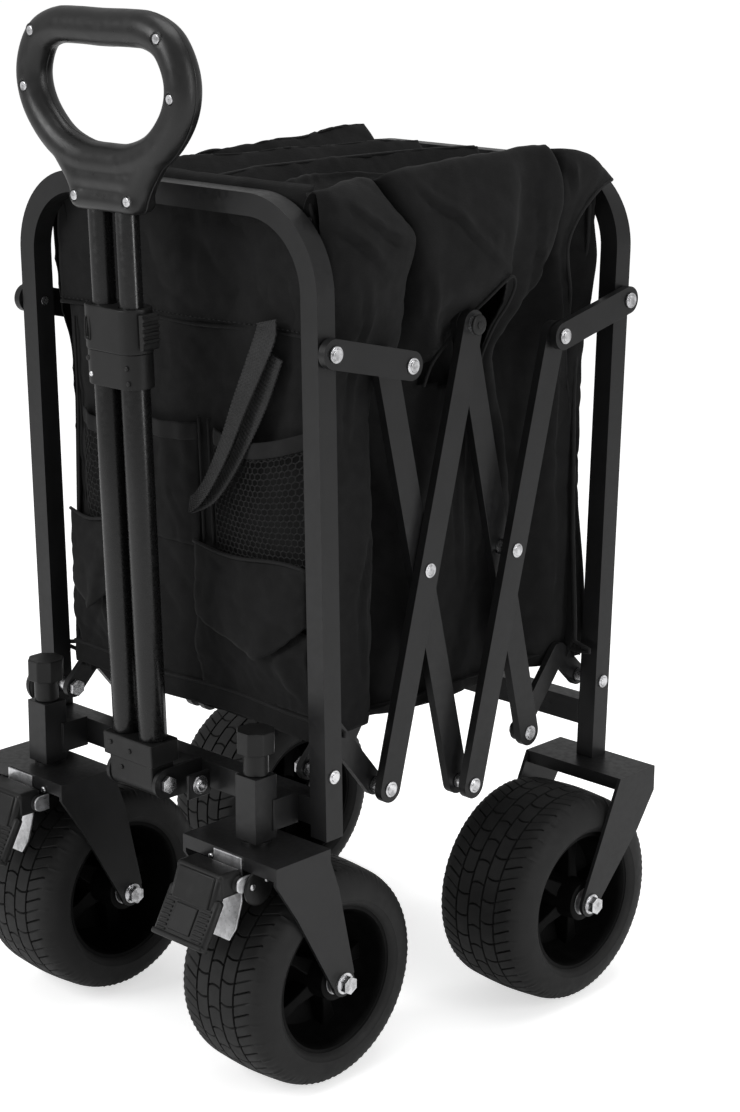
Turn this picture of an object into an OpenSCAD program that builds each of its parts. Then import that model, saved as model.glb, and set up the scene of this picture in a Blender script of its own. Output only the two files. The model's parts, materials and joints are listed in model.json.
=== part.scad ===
// Folding camp wagon, shown folded: two end frames joined by scissor bars,
// swivel casters in front, fixed forks behind, telescoping pull handle.
// X is the width, -Y is the handle end, +Z is up, and z = 0 is the ground.

/* [End frames] */
// Width over the outside of each end frame
frame_w = 375; // [310:5:460]
// Depth over both end frames at the foot of the legs, folded
fold_d = 380; // [314:2:460]
// Height of an end frame above the foot of the front legs
frame_h = 544; // [450:2:660]
// Width of the frame tube, seen from the front
tube_w = 19; // [16:1:23]
// Depth of the frame tube, seen from the side
tube_d = 20; // [16:1:24]
// Wall of the frame tube
tube_t = 1.2; // [1:0.1:2]
// Outer radius of the top corners
corner_r = 78; // [60:1:95]
// Outward lean of each end frame
lean = 1.5; // [0:0.1:2]
// Height of the cross rails
rail_h = 24; // [20:1:29]

/* [Scissor] */
// Angle of the scissor bars from upright, folded
fold_angle = 14; // [11:0.5:17]
// Width of the scissor bars
bar_w = 25; // [20:1:30]
// Thickness of the scissor bars
bar_t = 8; // [6.5:0.5:9]
// Extra length of the bars on the centre side of their crossing rivet
bar_extra = 21; // [17:1:26]
// Drop of the upper links from the leg to the bar
link_drop = 21.6; // [18:0.1:26]
// Diameter of the pivot pins
pin_d = 8; // [6:0.5:10]

/* [Wheels] */
// Tyre diameter
wheel_d = 200; // [165:5:240]
// Tyre width
wheel_w = 106; // [88:1:128]
// Diameter of the dished rim opening
rim_d = 124; // [102:1:150]
// Diameter of the axle bolts
axle_d = 10; // [8:0.5:12]
// Outer diameter of the wheel bearings
bearing_d = 26; // [22:1:30]
// Thickness of the tyre's tread band
tyre_wall = 13; // [10:1:16]
// Depth of a tread groove
tread_depth = 3; // [2:0.5:4]

/* [Casters and forks] */
// Distance between the caster stems
stem_gap = 278; // [250:2:300]
// Trail of the casters, from the stem back to the axle
trail = 49; // [40:1:58]
// Diameter of the caster stem
stem_d = 16; // [13:1:18]
// Width of the square caster socket
socket_w = 25; // [23:1:30]
// Thickness of the fork plates
fork_t = 3.5; // [3:0.5:4]
// Length of a fork's top plate along Y
fork_len = 64; // [56:1:76]
// Distance between the rear wheel centres
rear_track = 368; // [350:2:430]

/* [Handle] */
// Forward lean of the stowed handle
handle_lean = 2.3; // [1.5:0.1:3]
// Outer diameter of the lower handle tubes
outer_tube_d = 25; // [21:1:28]
// Inner diameter of the lower handle tubes
outer_tube_bore = 21; // [18:0.5:22]
// Distance between the two handle tubes
tube_gap = 34; // [30:1:40]
// Length of the lower handle tubes
outer_tube_l = 345; // [290:5:410]
// Travel of the telescoping part, up from where it is shown
slide_travel = 240; // [200:5:260]
// Width of the grip loop
grip_w = 216; // [180:2:258]
// Height of the grip loop above its neck
grip_h = 166; // [140:2:200]
// Thickness of the grip
grip_t = 31; // [26:1:36]

/* [Bag] */
// Thickness of the fabric wall, padding included
bag_t = 3; // [2:0.5:4]
// Gap between the two halves of the bag
bag_gap = 4; // [3:1:8]

/* [Fits] */
// Radial clearance of every pin, stem and axle
pin_clear = 0.08; // [0.02:0.01:0.1]
// Gap between faces that slide past each other
slide_gap = 0.5; // [0.3:0.1:0.8]
// Radial clearance of the telescoping tubes
tube_clear = 0.3; // [0.2:0.05:0.4]

/* [Hidden] */
$fn = 48;

left = -1;
right = 1;
front = -1;
rear = 1;

steel_black = [0.07, 0.07, 0.075];
plastic_black = [0.10, 0.10, 0.11];
rubber_black = [0.13, 0.13, 0.13];
cloth_black = [0.05, 0.05, 0.06];
zinc = [0.75, 0.76, 0.78];

// Heights, from the ground up
wheel_r = wheel_d / 2;
rear_plate_z = wheel_d + 13;
caster_plate_z = wheel_d + 29;
leg_z = caster_plate_z + 2;
rail_z = leg_z + 11;
top_z = leg_z + frame_h;
swing_z = rail_z + rail_h + 22;
bar_low_z = leg_z + 21;
bar_high_z = top_z - corner_r - 45 - link_drop;
link_z = bar_high_z + link_drop;

// Scissor pivots, as [y, z] of the rear half; the front half is its mirror image
bar_outer = (bar_high_z - bar_low_z) / 2 / cos(fold_angle);
bar_inner = bar_outer + bar_extra;
bar_y = (bar_outer + bar_inner) * sin(fold_angle);
function leg_y(z) = fold_d / 2 - tube_d / 2 + (z - leg_z) * tan(lean);
leg_swing = [leg_y(swing_z), swing_z];
leg_link = [leg_y(link_z), link_z];
bar_low = [bar_y, bar_low_z];
bar_high = [bar_y, bar_high_z];
crossing = [bar_y - bar_outer * sin(fold_angle), bar_low_z + bar_outer * cos(fold_angle)];
centre_top = [0, bar_low_z + (bar_outer + bar_inner) * cos(fold_angle)];
centre_low = [0, bar_high_z - (bar_outer + bar_inner) * cos(fold_angle)];

// Layers of the linkage across X, on the right side
leg_in = frame_w / 2 - tube_w;
layer_1 = leg_in - 8.5;
layer_2 = layer_1 + bar_t + 1;
layer_4 = layer_2 + bar_t + 2;
upper_link_t = 7;
upper_link_x = max(frame_w / 2, layer_4 + bar_t) + 2.5;
swing_t = 6;
swing_x = layer_1 - 2 - swing_t;
pin_r = pin_d / 2;
boss_r = bar_w / 2;

// Casters, forks and wheels
stem_x = stem_gap / 2;
stem_y = -fold_d / 2 - 36;
fork_w = wheel_w + 2 + 2 * fork_t;
fork_lip = 12;
fork_end_r = 12.5;
caster_wheel = [stem_y + trail, wheel_r];
rear_wheel = [fold_d / 2 - 84, wheel_r];
rear_x = rear_track / 2;
rear_plate_y0 = fold_d / 2 - 45;
rear_plate_y1 = fold_d / 2 + 7;
socket_z0 = caster_plate_z + 3;
socket_z1 = socket_z0 + 58;
pedal_reach = 89;
pedal_pivot = [stem_y - fork_len / 2 - 9.5, caster_plate_z - 20];
pedal_pin_r = 2.5;

// Handle, in its own leaning frame with the pivot at the origin
pivot_y = stem_y - 6;
pivot_z = rail_z + rail_h / 2;
base_top = 39;
outer_top = base_top + outer_tube_l;
lower_collar_h = 30;
upper_collar_h = 38;
inner_tube_d = outer_tube_bore - 2 * tube_clear;
inner_low = outer_top - slide_travel - 24;
neck_z = outer_top + 114;
inner_top = neck_z + 30;
barrel_l = 56;
barrel_r = 13;

// Centring along Y: the pedals reach furthest forward, the rear tyres furthest back
mid_y = -((stem_y - pedal_reach) + (rear_wheel[0] + wheel_r)) / 2;

// ---- helpers -------------------------------------------------------------

module at_mid() translate([0, mid_y, 0]) children();

module on_side(s) {
    if (s == right) children();
    else mirror([1, 0, 0]) children();
}

module at_end(s) {
    if (s == rear) children();
    else mirror([0, 1, 0]) children();
}

module both_sides() {
    for (s = [left, right]) on_side(s) children();
}

// Extrudes a [y, z] outline along X from x0
module slab_x(x0, t) translate([x0, 0, 0]) rotate([90, 0, 90]) linear_extrude(t) children();

// Round bar along X, centred on a [y, z] point
module rod_x(p, x0, x1, r, fn = 48)
    translate([x0, p[0], p[1]]) rotate([0, 90, 0]) cylinder(h = x1 - x0, r = r, $fn = fn);

// Outline of a straight link with round ends
module link_outline(p, q, r) {
    d = q - p;
    n = [-d[1], d[0]] / norm(d) * r;
    translate(p) circle(r);
    translate(q) circle(r);
    polygon([p + n, p - n, q - n, q + n]);
}

// Domed rivet head that stands out along +X from x0
module rivet_head(p, x0, r, h) {
    rod_x(p, x0, x0 + h * 0.55, r);
    rod_x(p, x0 + h * 0.55, x0 + h, r * 0.7);
}

// ---- end frames ----------------------------------------------------------

module arch_outline(inset, low) {
    w = frame_w - 2 * inset;
    r = corner_r - inset;
    h = frame_h - inset;
    translate([-w / 2, low]) square([w, h - r - low]);
    translate([-w / 2 + r, h - r - 1]) square([w - 2 * r, r + 1]);
    for (s = [left, right]) translate([s * (w / 2 - r), h - r]) circle(r, $fn = 96);
}

module arch(low) {
    difference() {
        rotate([90, 0, 0]) linear_extrude(tube_d, center = true)
            difference() {
                arch_outline(0, low);
                arch_outline(tube_w, low - 1);
            }
        rotate([90, 0, 0]) linear_extrude(tube_d - 2 * tube_t, center = true)
            difference() {
                arch_outline(tube_t, low - 1);
                arch_outline(tube_w - tube_t, low - 2);
            }
    }
}

module end_frame(s, foot_z) {
    difference() {
        translate([0, s * (fold_d / 2 - tube_d / 2), leg_z])
            rotate([-s * lean, 0, 0]) arch(foot_z - leg_z);
        at_end(s) both_sides() for (p = [leg_swing, leg_link])
            rod_x(p, leg_in - 1, frame_w / 2 + 1, pin_r);
        translate([-frame_w, -fold_d, -1]) cube([2 * frame_w, 2 * fold_d, foot_z + 1]);
    }
}

module front_frame() at_mid() color(steel_black) end_frame(front, leg_z);
module rear_frame() at_mid() color(steel_black) end_frame(rear, rear_plate_z);

module cross_rail(s, z0) {
    y0 = s == front ? -fold_d / 2 : fold_d / 2 - tube_d;
    difference() {
        translate([-leg_in, y0, z0]) cube([2 * leg_in, tube_d, rail_h]);
        translate([-leg_in - 1, y0 + tube_t, z0 + tube_t])
            cube([2 * leg_in + 2, tube_d - 2 * tube_t, rail_h - 2 * tube_t]);
    }
}

module front_rail() at_mid() color(steel_black) cross_rail(front, rail_z);
module rear_rail() at_mid() color(steel_black) cross_rail(rear, rail_z + 2);

// Pivot bolts of the end frames: the swing pivot inside the leg, the link pivot outside it
module frame_bolts(s) at_end(s) both_sides() {
    rod_x(leg_swing, swing_x - 2 - slide_gap, frame_w / 2, pin_r);
    rod_x(leg_swing, swing_x - 5, swing_x - slide_gap, pin_r + 4, 6);
    rod_x(leg_swing, swing_x + swing_t + slide_gap, leg_in, pin_r + 3);
    rivet_head(leg_swing, frame_w / 2, pin_r + 2, 3);
    rod_x(leg_link, leg_in, upper_link_x + upper_link_t + slide_gap, pin_r);
    rod_x(leg_link, frame_w / 2, upper_link_x - slide_gap, pin_r + 3);
    rivet_head(leg_link, upper_link_x + upper_link_t + slide_gap, pin_r + 3, 3.5);
}

module frame_bolts_front() at_mid() color(zinc) {
    frame_bolts(front);
    pivot = [pivot_y, pivot_z];
    rod_x(pivot, -barrel_l / 2 - 9, barrel_l / 2 + 9, pin_r);
    for (s = [left, right]) on_side(s) rod_x(pivot, barrel_l / 2 + 5, barrel_l / 2 + 9, pin_r + 4, 6);
}

module frame_bolts_rear() at_mid() color(zinc) frame_bolts(rear);

// ---- caster sockets and handle bracket -----------------------------------

module caster_sockets() at_mid() color(steel_black) both_sides() difference() {
    union() {
        translate([stem_x - socket_w / 2, stem_y - socket_w / 2, socket_z0])
            cube([socket_w, socket_w, socket_z1 - socket_z0]);
        translate([stem_x - socket_w / 2 - 2, stem_y + socket_w / 2 - 6, rail_z - 2])
            cube([socket_w + 4, -fold_d / 2 - stem_y - socket_w / 2 + 6, rail_h + 4]);
    }
    translate([stem_x, stem_y, socket_z0 - 1])
        cylinder(h = socket_z1 - socket_z0 + 2, d = stem_d + 2 * pin_clear);
}

module socket_caps() at_mid() color(plastic_black) both_sides() translate([stem_x, stem_y, socket_z1])
    difference() {
        union() {
            cylinder(h = 20, r = socket_w / 2 - 1.5);
            translate([0, 0, 20]) rotate([0, 0, 22.5]) cylinder(h = 20, r = socket_w / 2 + 4.5, $fn = 8);
        }
        translate([0, 0, -1]) cylinder(h = 13, d = stem_d + 1);
    }

module handle_bracket() at_mid() color(steel_black) {
    cheek_x = barrel_l / 2 + slide_gap;
    both_sides() slab_x(cheek_x, 4) difference() {
        union() {
            translate([pivot_y, pivot_z]) circle(barrel_r + 1);
            translate([pivot_y, pivot_z - barrel_r - 1])
                square([-fold_d / 2 - pivot_y, 2 * barrel_r + 2]);
        }
        translate([pivot_y, pivot_z]) circle(pin_r);
    }
    translate([-cheek_x, -fold_d / 2 - 4, pivot_z - barrel_r - 1])
        cube([2 * cheek_x, 4, 2 * barrel_r + 2]);
}

// ---- handle --------------------------------------------------------------

module at_handle() at_mid() translate([0, pivot_y, pivot_z]) rotate([handle_lean, 0, 0]) children();

module tube_pair(z0, h, d) for (s = [left, right])
    translate([s * tube_gap / 2, 0, z0]) cylinder(h = h, d = d);

module handle_base() at_handle() color(plastic_black) difference() {
    union() {
        translate([-barrel_l / 2, 0, 0]) rotate([0, 90, 0]) cylinder(h = barrel_l, r = barrel_r);
        translate([-barrel_l / 2, -barrel_r, 0]) cube([barrel_l, 2 * barrel_r, 18]);
        translate([-barrel_l / 2 - 4, -barrel_r - 3, 18])
            cube([barrel_l + 8, 2 * barrel_r + 6, base_top - 18]);
    }
    translate([-barrel_l, 0, 0]) rotate([0, 90, 0]) cylinder(h = 2 * barrel_l, r = pin_r + pin_clear);
}

module outer_tubes() at_handle() color(steel_black) difference() {
    tube_pair(base_top, outer_tube_l, outer_tube_d);
    tube_pair(base_top - 1, outer_tube_l + 2, outer_tube_bore);
}

module collar_block(z0, h, x, y) {
    translate([-x + y, -y, z0]) cube([2 * (x - y), 2 * y, h]);
    for (s = [left, right]) translate([s * (x - y), 0, z0]) cylinder(h = h, r = y);
}

collar_x = tube_gap / 2 + outer_tube_d / 2 + 4;
collar_y = outer_tube_d / 2 + 3.5;

module lower_collar() at_handle() color(plastic_black) difference() {
    collar_block(outer_top - lower_collar_h, lower_collar_h, collar_x, collar_y);
    tube_pair(outer_top - lower_collar_h - 1, lower_collar_h + 2, outer_tube_d + 2 * pin_clear);
}

module upper_collar() at_handle() color(plastic_black) difference() {
    collar_block(outer_top, upper_collar_h, collar_x + 1, collar_y + 1);
    tube_pair(outer_top - 1, upper_collar_h + 2, outer_tube_bore);
}

// Thumb lever beside the upper collar, with its hinge barrel at the foot
latch_t = 5;
latch_w = 18;
latch_pivot = [collar_x + 1 + slide_gap + latch_t / 2, outer_top + 4 + latch_t / 2];

module latch_lever() at_handle() color(plastic_black)
    translate([latch_pivot[0], -latch_w / 2, latch_pivot[1]]) {
        rotate([-90, 0, 0]) cylinder(h = latch_w, r = latch_t / 2);
        translate([-latch_t / 2, 0, 0]) cube([latch_t, latch_w, upper_collar_h - 10]);
        for (i = [0 : 3]) translate([latch_t / 2 - 1, 0, 4 + i * 6]) cube([2.5, latch_w, 3]);
    }

module inner_tubes() at_handle() color(steel_black) difference() {
    tube_pair(inner_low, inner_top - inner_low, inner_tube_d);
    tube_pair(inner_low - 1, inner_top - inner_low + 2, inner_tube_d - 3);
}

// Outline of the grip in [x, z], neck at the bottom
module grip_outline() {
    top = neck_z + grip_h;
    r = grip_h * 0.33;
    hull() {
        for (s = [left, right]) {
            translate([s * (grip_w / 2 - r), top - r]) circle(r, $fn = 32);
            translate([s * 26, neck_z + 40]) circle(20, $fn = 32);
        }
    }
    translate([-47, neck_z]) square([94, 50]);
}

module grip_hole() {
    top = neck_z + grip_h - grip_t;
    r = grip_h * 0.19;
    hull() for (s = [left, right]) {
        translate([s * (grip_w / 2 - grip_t - r), top - r]) circle(r, $fn = 32);
        translate([s * 24, top - 52]) circle(20, $fn = 32);
    }
}

screw_r = 4;
screws = [for (s = [left, right]) each [
    [s * (grip_w / 2 - 30), neck_z + grip_h - 20],
    [s * (grip_w / 2 - 17), neck_z + grip_h - 66],
    [s * 33, neck_z + 14]
]];

module grip_half(s) at_handle() color(plastic_black) difference() {
    translate([0, s == front ? 0 : grip_t / 2, 0]) rotate([90, 0, 0])
        linear_extrude(grip_t / 2) difference() {
            grip_outline();
            grip_hole();
        }
    tube_pair(neck_z - 1, inner_top - neck_z + 1, inner_tube_d);
    for (p = screws) translate([p[0], -grip_t / 2 - 1, p[1]]) rotate([-90, 0, 0])
        cylinder(h = grip_t / 2 + 11, r = screw_r * 0.6);
    for (p = screws) translate([p[0], -grip_t / 2 - 1, p[1]]) rotate([-90, 0, 0])
        cylinder(h = 5, r = screw_r + 0.4);
}

module grip_front() grip_half(front);
module grip_back() grip_half(rear);

module grip_screws() at_handle() color(zinc) for (p = screws)
    translate([p[0], -grip_t / 2 + 1, p[1]]) rotate([-90, 0, 0]) {
        cylinder(h = 3, r = screw_r);
        cylinder(h = grip_t / 2 + 8, r = screw_r * 0.6);
    }

// ---- wheels, forks and brakes --------------------------------------------

// Solid of revolution about an X axis through a [y, z] point, from an [r, x] outline
module turned(x, p) translate([x, p[0], p[1]]) rotate([0, 90, 0]) rotate_extrude($fn = 96) children();

module tyre(x, p) color(rubber_black) {
    seat_r = rim_d / 2 + 6;
    h = wheel_w / 2;
    turned(x, p) difference() {
        polygon([
            [seat_r, -h + 6], [wheel_r - 22, -h], [wheel_r - 6, -h + 3], [wheel_r, -h + 14],
            [wheel_r, h - 14], [wheel_r - 6, h - 3], [wheel_r - 22, h], [seat_r, h - 6]
        ]);
        translate([seat_r - 1, -h + 16]) square([wheel_r - tyre_wall - seat_r + 1, wheel_w - 32]);
        for (g = [-1, 0, 1]) translate([wheel_r - tread_depth, g * wheel_w * 0.2 - 2])
            square([tread_depth + 1, 4]);
    }
}

hub_r = bearing_d / 2 + 6;
hub_l = wheel_w - 8;
bearing_w = 8;

module rim(x, p) color(plastic_black) {
    h = wheel_w / 2 - 6;
    bore_r = axle_d / 2 + 2;
    turned(x, p) {
        polygon([[rim_d / 2, -h], [rim_d / 2 + 6, -h], [rim_d / 2 + 6, h], [rim_d / 2, h]]);
        polygon([
            [bearing_d / 2, -hub_l / 2], [hub_r, -hub_l / 2], [hub_r, hub_l / 2],
            [bearing_d / 2, hub_l / 2], [bearing_d / 2, hub_l / 2 - bearing_w],
            [bore_r, hub_l / 2 - bearing_w], [bore_r, -hub_l / 2 + bearing_w],
            [bearing_d / 2, -hub_l / 2 + bearing_w]
        ]);
    }
    for (i = [0 : 4]) translate([x, p[0], p[1]]) rotate([i * 72, 0, 0])
        translate([-14, -9, hub_r - 1.5]) cube([28, 18, rim_d / 2 - hub_r + 3]);
}

module bearings(x, p) color(zinc) for (s = [left, right])
    turned(x + s * (hub_l - bearing_w) / 2, p)
        translate([axle_d / 2 + pin_clear, -bearing_w / 2])
            square([(bearing_d - axle_d) / 2 - pin_clear, bearing_w]);

module axle_bolt(x, p) {
    half = fork_w / 2;
    rod_x(p, x - half - 8, x + half + 8, axle_d / 2);
    for (s = [left, right]) translate([x, 0, 0]) on_side(s) {
        rod_x(p, half, half + 1.5, axle_d / 2 + 4.5);
        rod_x(p, half + 1.5, half + 8, axle_d / 2 + 3.2, 6);
    }
}

// Fork with a lipped top plate from y0 to y1 and arms with the given [y, z] outline
module fork(x, p, y0, y1, top) {
    difference() {
        union() {
            translate([x - fork_w / 2, y0, top - fork_t]) cube([fork_w, y1 - y0, fork_t]);
            for (y = [y0, y1 - fork_t]) translate([x - fork_w / 2, y, top - fork_lip])
                cube([fork_w, fork_t, fork_lip]);
            for (side_x = [x - fork_w / 2, x + fork_w / 2 - fork_t]) slab_x(side_x, fork_t) children();
        }
        rod_x(p, x - fork_w, x + fork_w, axle_d / 2);
    }
}

module caster_arm() {
    y0 = stem_y - fork_len / 2;
    y1 = stem_y + fork_len / 2 - 4;
    top = caster_plate_z;
    polygon([
        [y0, top], [y1, top], [y1 + 14, top - 38],
        caster_wheel + [fork_end_r, 6], caster_wheel - [fork_end_r, 2], [y0 + 24, top - 52], [y0, top - 16]
    ]);
    translate(caster_wheel) circle(fork_end_r);
}

module caster_fork(s) at_mid() color(steel_black) on_side(s) {
    y0 = stem_y - fork_len / 2;
    fork(stem_x, caster_wheel, y0, y0 + fork_len, caster_plate_z) caster_arm();
    translate([stem_x, stem_y, caster_plate_z - fork_t]) {
        cylinder(h = socket_z1 + 8 - caster_plate_z + fork_t, d = stem_d);
        cylinder(h = fork_t + 3 - slide_gap, r = socket_w / 2);
    }
}

module caster_axle(s) at_mid() color(zinc) on_side(s) axle_bolt(stem_x, caster_wheel);

module rear_arm() {
    top = rear_plate_z;
    polygon([
        [rear_plate_y0, top], [rear_plate_y1, top], [rear_plate_y1, top - 24],
        [rear_plate_y1 - 24, top - 58],
        rear_wheel + [fork_end_r, -2], rear_wheel - [fork_end_r, -3]
    ]);
    translate(rear_wheel) circle(fork_end_r);
}

module rear_fork(s) at_mid() color(steel_black) on_side(s)
    fork(rear_x, rear_wheel, rear_plate_y0, rear_plate_y1, rear_plate_z) rear_arm();

module rear_axles() at_mid() color(zinc) both_sides() axle_bolt(rear_x, rear_wheel);

// Brake: a toothed plate hangs from the fork's front lip, the pedal swings in front of it
// on a pin between two cheeks
pedal_w = 62;
pedal_x0 = stem_x - pedal_w / 2 - 6;
plate_w = 34;
plate_drop = 74;
cheek_t = 2;
cheek_r = 7;

module brake_plate(s) at_mid() color(zinc) on_side(s) {
    y0 = stem_y - fork_len / 2;
    tyre_y = caster_wheel[0] - sqrt(pow(wheel_d / 2, 2) - pow(caster_plate_z - plate_drop - caster_wheel[1], 2));
    foot_y = min(y0 - 10, tyre_y - 4);
    difference() {
        slab_x(stem_x - plate_w / 2, plate_w) polygon([
            [y0, caster_plate_z - 1], [y0 - 2, caster_plate_z - 1],
            [y0 - 2, caster_plate_z - 40], [foot_y - 2, caster_plate_z - plate_drop],
            [foot_y, caster_plate_z - plate_drop], [y0, caster_plate_z - 40]
        ]);
        for (t = [-1, 1]) translate([stem_x + t * plate_w / 2, foot_y - 10, caster_plate_z - plate_drop - 4])
            rotate([0, t * 24, 0]) translate([-6, 0, 0]) cube([12, 40, 40]);
    }
    for (x = [pedal_x0 - slide_gap - cheek_t, pedal_x0 + pedal_w + slide_gap]) slab_x(x, cheek_t) {
        translate(pedal_pivot) circle(cheek_r);
        translate([pedal_pivot[0], pedal_pivot[1] - cheek_r]) square([y0 - pedal_pivot[0], 2 * cheek_r]);
    }
    rod_x(pedal_pivot, pedal_x0 - slide_gap - cheek_t, pedal_x0 + pedal_w + slide_gap + cheek_t, pedal_pin_r);
}

module brake_pedal(s) at_mid() color(plastic_black) on_side(s) {
    tip = stem_y - pedal_reach;
    root = pedal_pivot[0] + 3.5;
    top = caster_plate_z - 6;
    difference() {
        slab_x(pedal_x0, pedal_w) polygon([
            [root, top], [root, top - 26], [tip + 10, top - 66], [tip, top - 58],
            [tip + 26, top - 24], [tip + 30, top - 6]
        ]);
        rod_x(pedal_pivot, pedal_x0 - 1, pedal_x0 + pedal_w + 1, pedal_pin_r + pin_clear);
    }
    for (i = [0 : 4]) translate([stem_x - pedal_w / 2, tip + 8 + i * 4.4, top - 51 + i * 6])
        cube([pedal_w - 12, 3, 3]);
}

module wheel_at(s) at_mid() on_side(s) children();

// ---- scissor linkage -----------------------------------------------------

// Pressed bar with round ends, hollowed on its inner face, drilled at the listed pivots
module bar(p, q, mid, x, holes) color(steel_black) {
    u = (q - p) / norm(q - p);
    difference() {
        slab_x(x, bar_t) link_outline(p, q, boss_r);
        for (span = [[p, mid], [mid, q]])
            slab_x(x - 1, bar_t - 0.5) {
                a = span[0] + u * (boss_r + 2);
                b = span[1] - u * (boss_r + 2);
                n = [-u[1], u[0]] * (boss_r - 2);
                polygon([a + n, a - n, b - n, b + n]);
            }
        for (h = holes) rod_x(h[0], x - 1, x + bar_t + 1, h[1]);
    }
}

loose_r = pin_r + pin_clear;

module bar_1(s) at_mid() on_side(s) at_end(front)
    bar(bar_high, centre_low, crossing, layer_1, [[crossing, loose_r]]);
module bar_2(s) at_mid() on_side(s) at_end(front)
    bar(centre_top, bar_low, crossing, layer_2, [[crossing, pin_r], [bar_low, pin_r], [centre_top, pin_r]]);
module bar_3(s) at_mid() on_side(s) at_end(rear)
    bar(centre_top, bar_low, crossing, layer_1, [[crossing, pin_r], [bar_low, pin_r]]);
module bar_4(s) at_mid() on_side(s) at_end(rear)
    bar(bar_high, centre_low, crossing, layer_4, [[crossing, loose_r], [centre_low, pin_r]]);

// Pins that ride on bars 2 and 3
module cross_pins(s, x0, x1) at_end(s) both_sides() {
    far = x1 + bar_t;
    rod_x(bar_low, swing_x - slide_gap, x0 + bar_t, pin_r);
    rod_x(bar_low, swing_x - slide_gap - 3, swing_x - slide_gap, pin_r + 3);
    rivet_head(bar_low, x0 + bar_t, pin_r + 3, 2.2);
    rod_x(crossing, layer_1 - slide_gap, far + slide_gap / 2, pin_r);
    rod_x(crossing, layer_1 - slide_gap - 2.5, layer_1 - slide_gap, pin_r + 3);
    rivet_head(crossing, far + slide_gap / 2, pin_r + 2.5, 1.5);
}

module cross_pins_front() at_mid() color(zinc) {
    cross_pins(front, layer_2, layer_2);
    at_end(front) both_sides() {
        rod_x(bar_low, swing_x + swing_t + slide_gap, layer_2, pin_r + 3);
        rod_x(centre_top, layer_2, layer_2 + bar_t, pin_r);
        rod_x(centre_top, layer_2 + bar_t, layer_2 + bar_t + 5, pin_r + 4);
    }
}

module cross_pins_rear() at_mid() color(zinc) {
    cross_pins(rear, layer_1, layer_4);
    at_end(rear) both_sides() {
        rod_x(bar_low, swing_x + swing_t + slide_gap, layer_1, pin_r + 3);
        rod_x(crossing, layer_1 + bar_t, layer_4 - slide_gap, pin_r + 3);
    }
}

// Spool at the low centre joint, carried by bar 4
module centre_spools() at_mid() color(zinc) both_sides() {
    rod_x(centre_low, layer_1 + bar_t + slide_gap, layer_4, pin_r + 3);
    rod_x(centre_low, layer_4, layer_4 + bar_t, pin_r);
    rivet_head(centre_low, layer_4 + bar_t, pin_r + 3, 3);
}

module upper_links(s) at_mid() color(steel_black) at_end(s) both_sides() difference() {
    slab_x(upper_link_x, upper_link_t) link_outline(leg_link, bar_high, boss_r);
    rod_x(leg_link, upper_link_x - 1, upper_link_x + upper_link_t + 1, loose_r);
    rod_x(bar_high, upper_link_x - 1, upper_link_x + upper_link_t + 1, pin_r);
}

module upper_links_front() upper_links(front);
module upper_links_rear() upper_links(rear);

module link_pins(s, bar_face) at_mid() color(zinc) at_end(s) both_sides() {
    rod_x(bar_high, bar_face + slide_gap, upper_link_x, pin_r + 3);
    rod_x(bar_high, upper_link_x, upper_link_x + upper_link_t, pin_r);
    rivet_head(bar_high, upper_link_x + upper_link_t, pin_r + 3, 3.5);
}

module link_pins_front() link_pins(front, layer_1 + bar_t);
module link_pins_rear() link_pins(rear, layer_4 + bar_t);

// Arched link that swings from the leg and carries the foot of bar 2 or 3
module swing_links(s) at_mid() color(steel_black) at_end(s) both_sides() {
    apex = (leg_swing + bar_low) / 2 + [12, 46];
    difference() {
        slab_x(swing_x, swing_t) {
            link_outline(leg_swing, apex, 10);
            link_outline(apex, bar_low, 10);
        }
        rod_x(leg_swing, swing_x - 1, swing_x + swing_t + 1, loose_r);
        rod_x(bar_low, swing_x - 1, swing_x + swing_t + 1, loose_r);
    }
}

module swing_links_front() swing_links(front);
module swing_links_rear() swing_links(rear);

// ---- bag -----------------------------------------------------------------

// Block that fills half of the bag, shrunk by an inset on the closed faces
module bag_block(inset) {
    side_x = swing_x - 6 - inset;
    wide_x = leg_in + 14 - inset;
    flare_z = centre_top[1] + boss_r;
    floor_z = rail_z + 20 + inset;
    lip_z = top_z - 18;
    y0 = bag_gap / 2 - (inset > 0 ? 1 : 0);
    intersection() {
        translate([0, fold_d, 0]) rotate([90, 0, 0]) linear_extrude(2 * fold_d) polygon([
            [-side_x, floor_z], [side_x, floor_z], [side_x, flare_z], [wide_x, flare_z + 34],
            [wide_x, lip_z + inset], [-wide_x, lip_z + inset],
            [-wide_x, flare_z + 34], [-side_x, flare_z]
        ]);
        slab_x(-frame_w, 2 * frame_w) polygon([
            [y0, floor_z - 1], [fold_d / 2 - tube_d - 3 - inset, floor_z - 1],
            [leg_y(lip_z) - tube_d / 2 - 3 - inset, lip_z + inset + 1], [y0, lip_z + inset + 1]
        ]);
    }
}

module bag_half(s) at_mid() color(cloth_black) at_end(s) difference() {
    bag_block(0);
    bag_block(bag_t);
}

module bag_front() bag_half(front);
module bag_rear() bag_half(rear);

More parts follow.
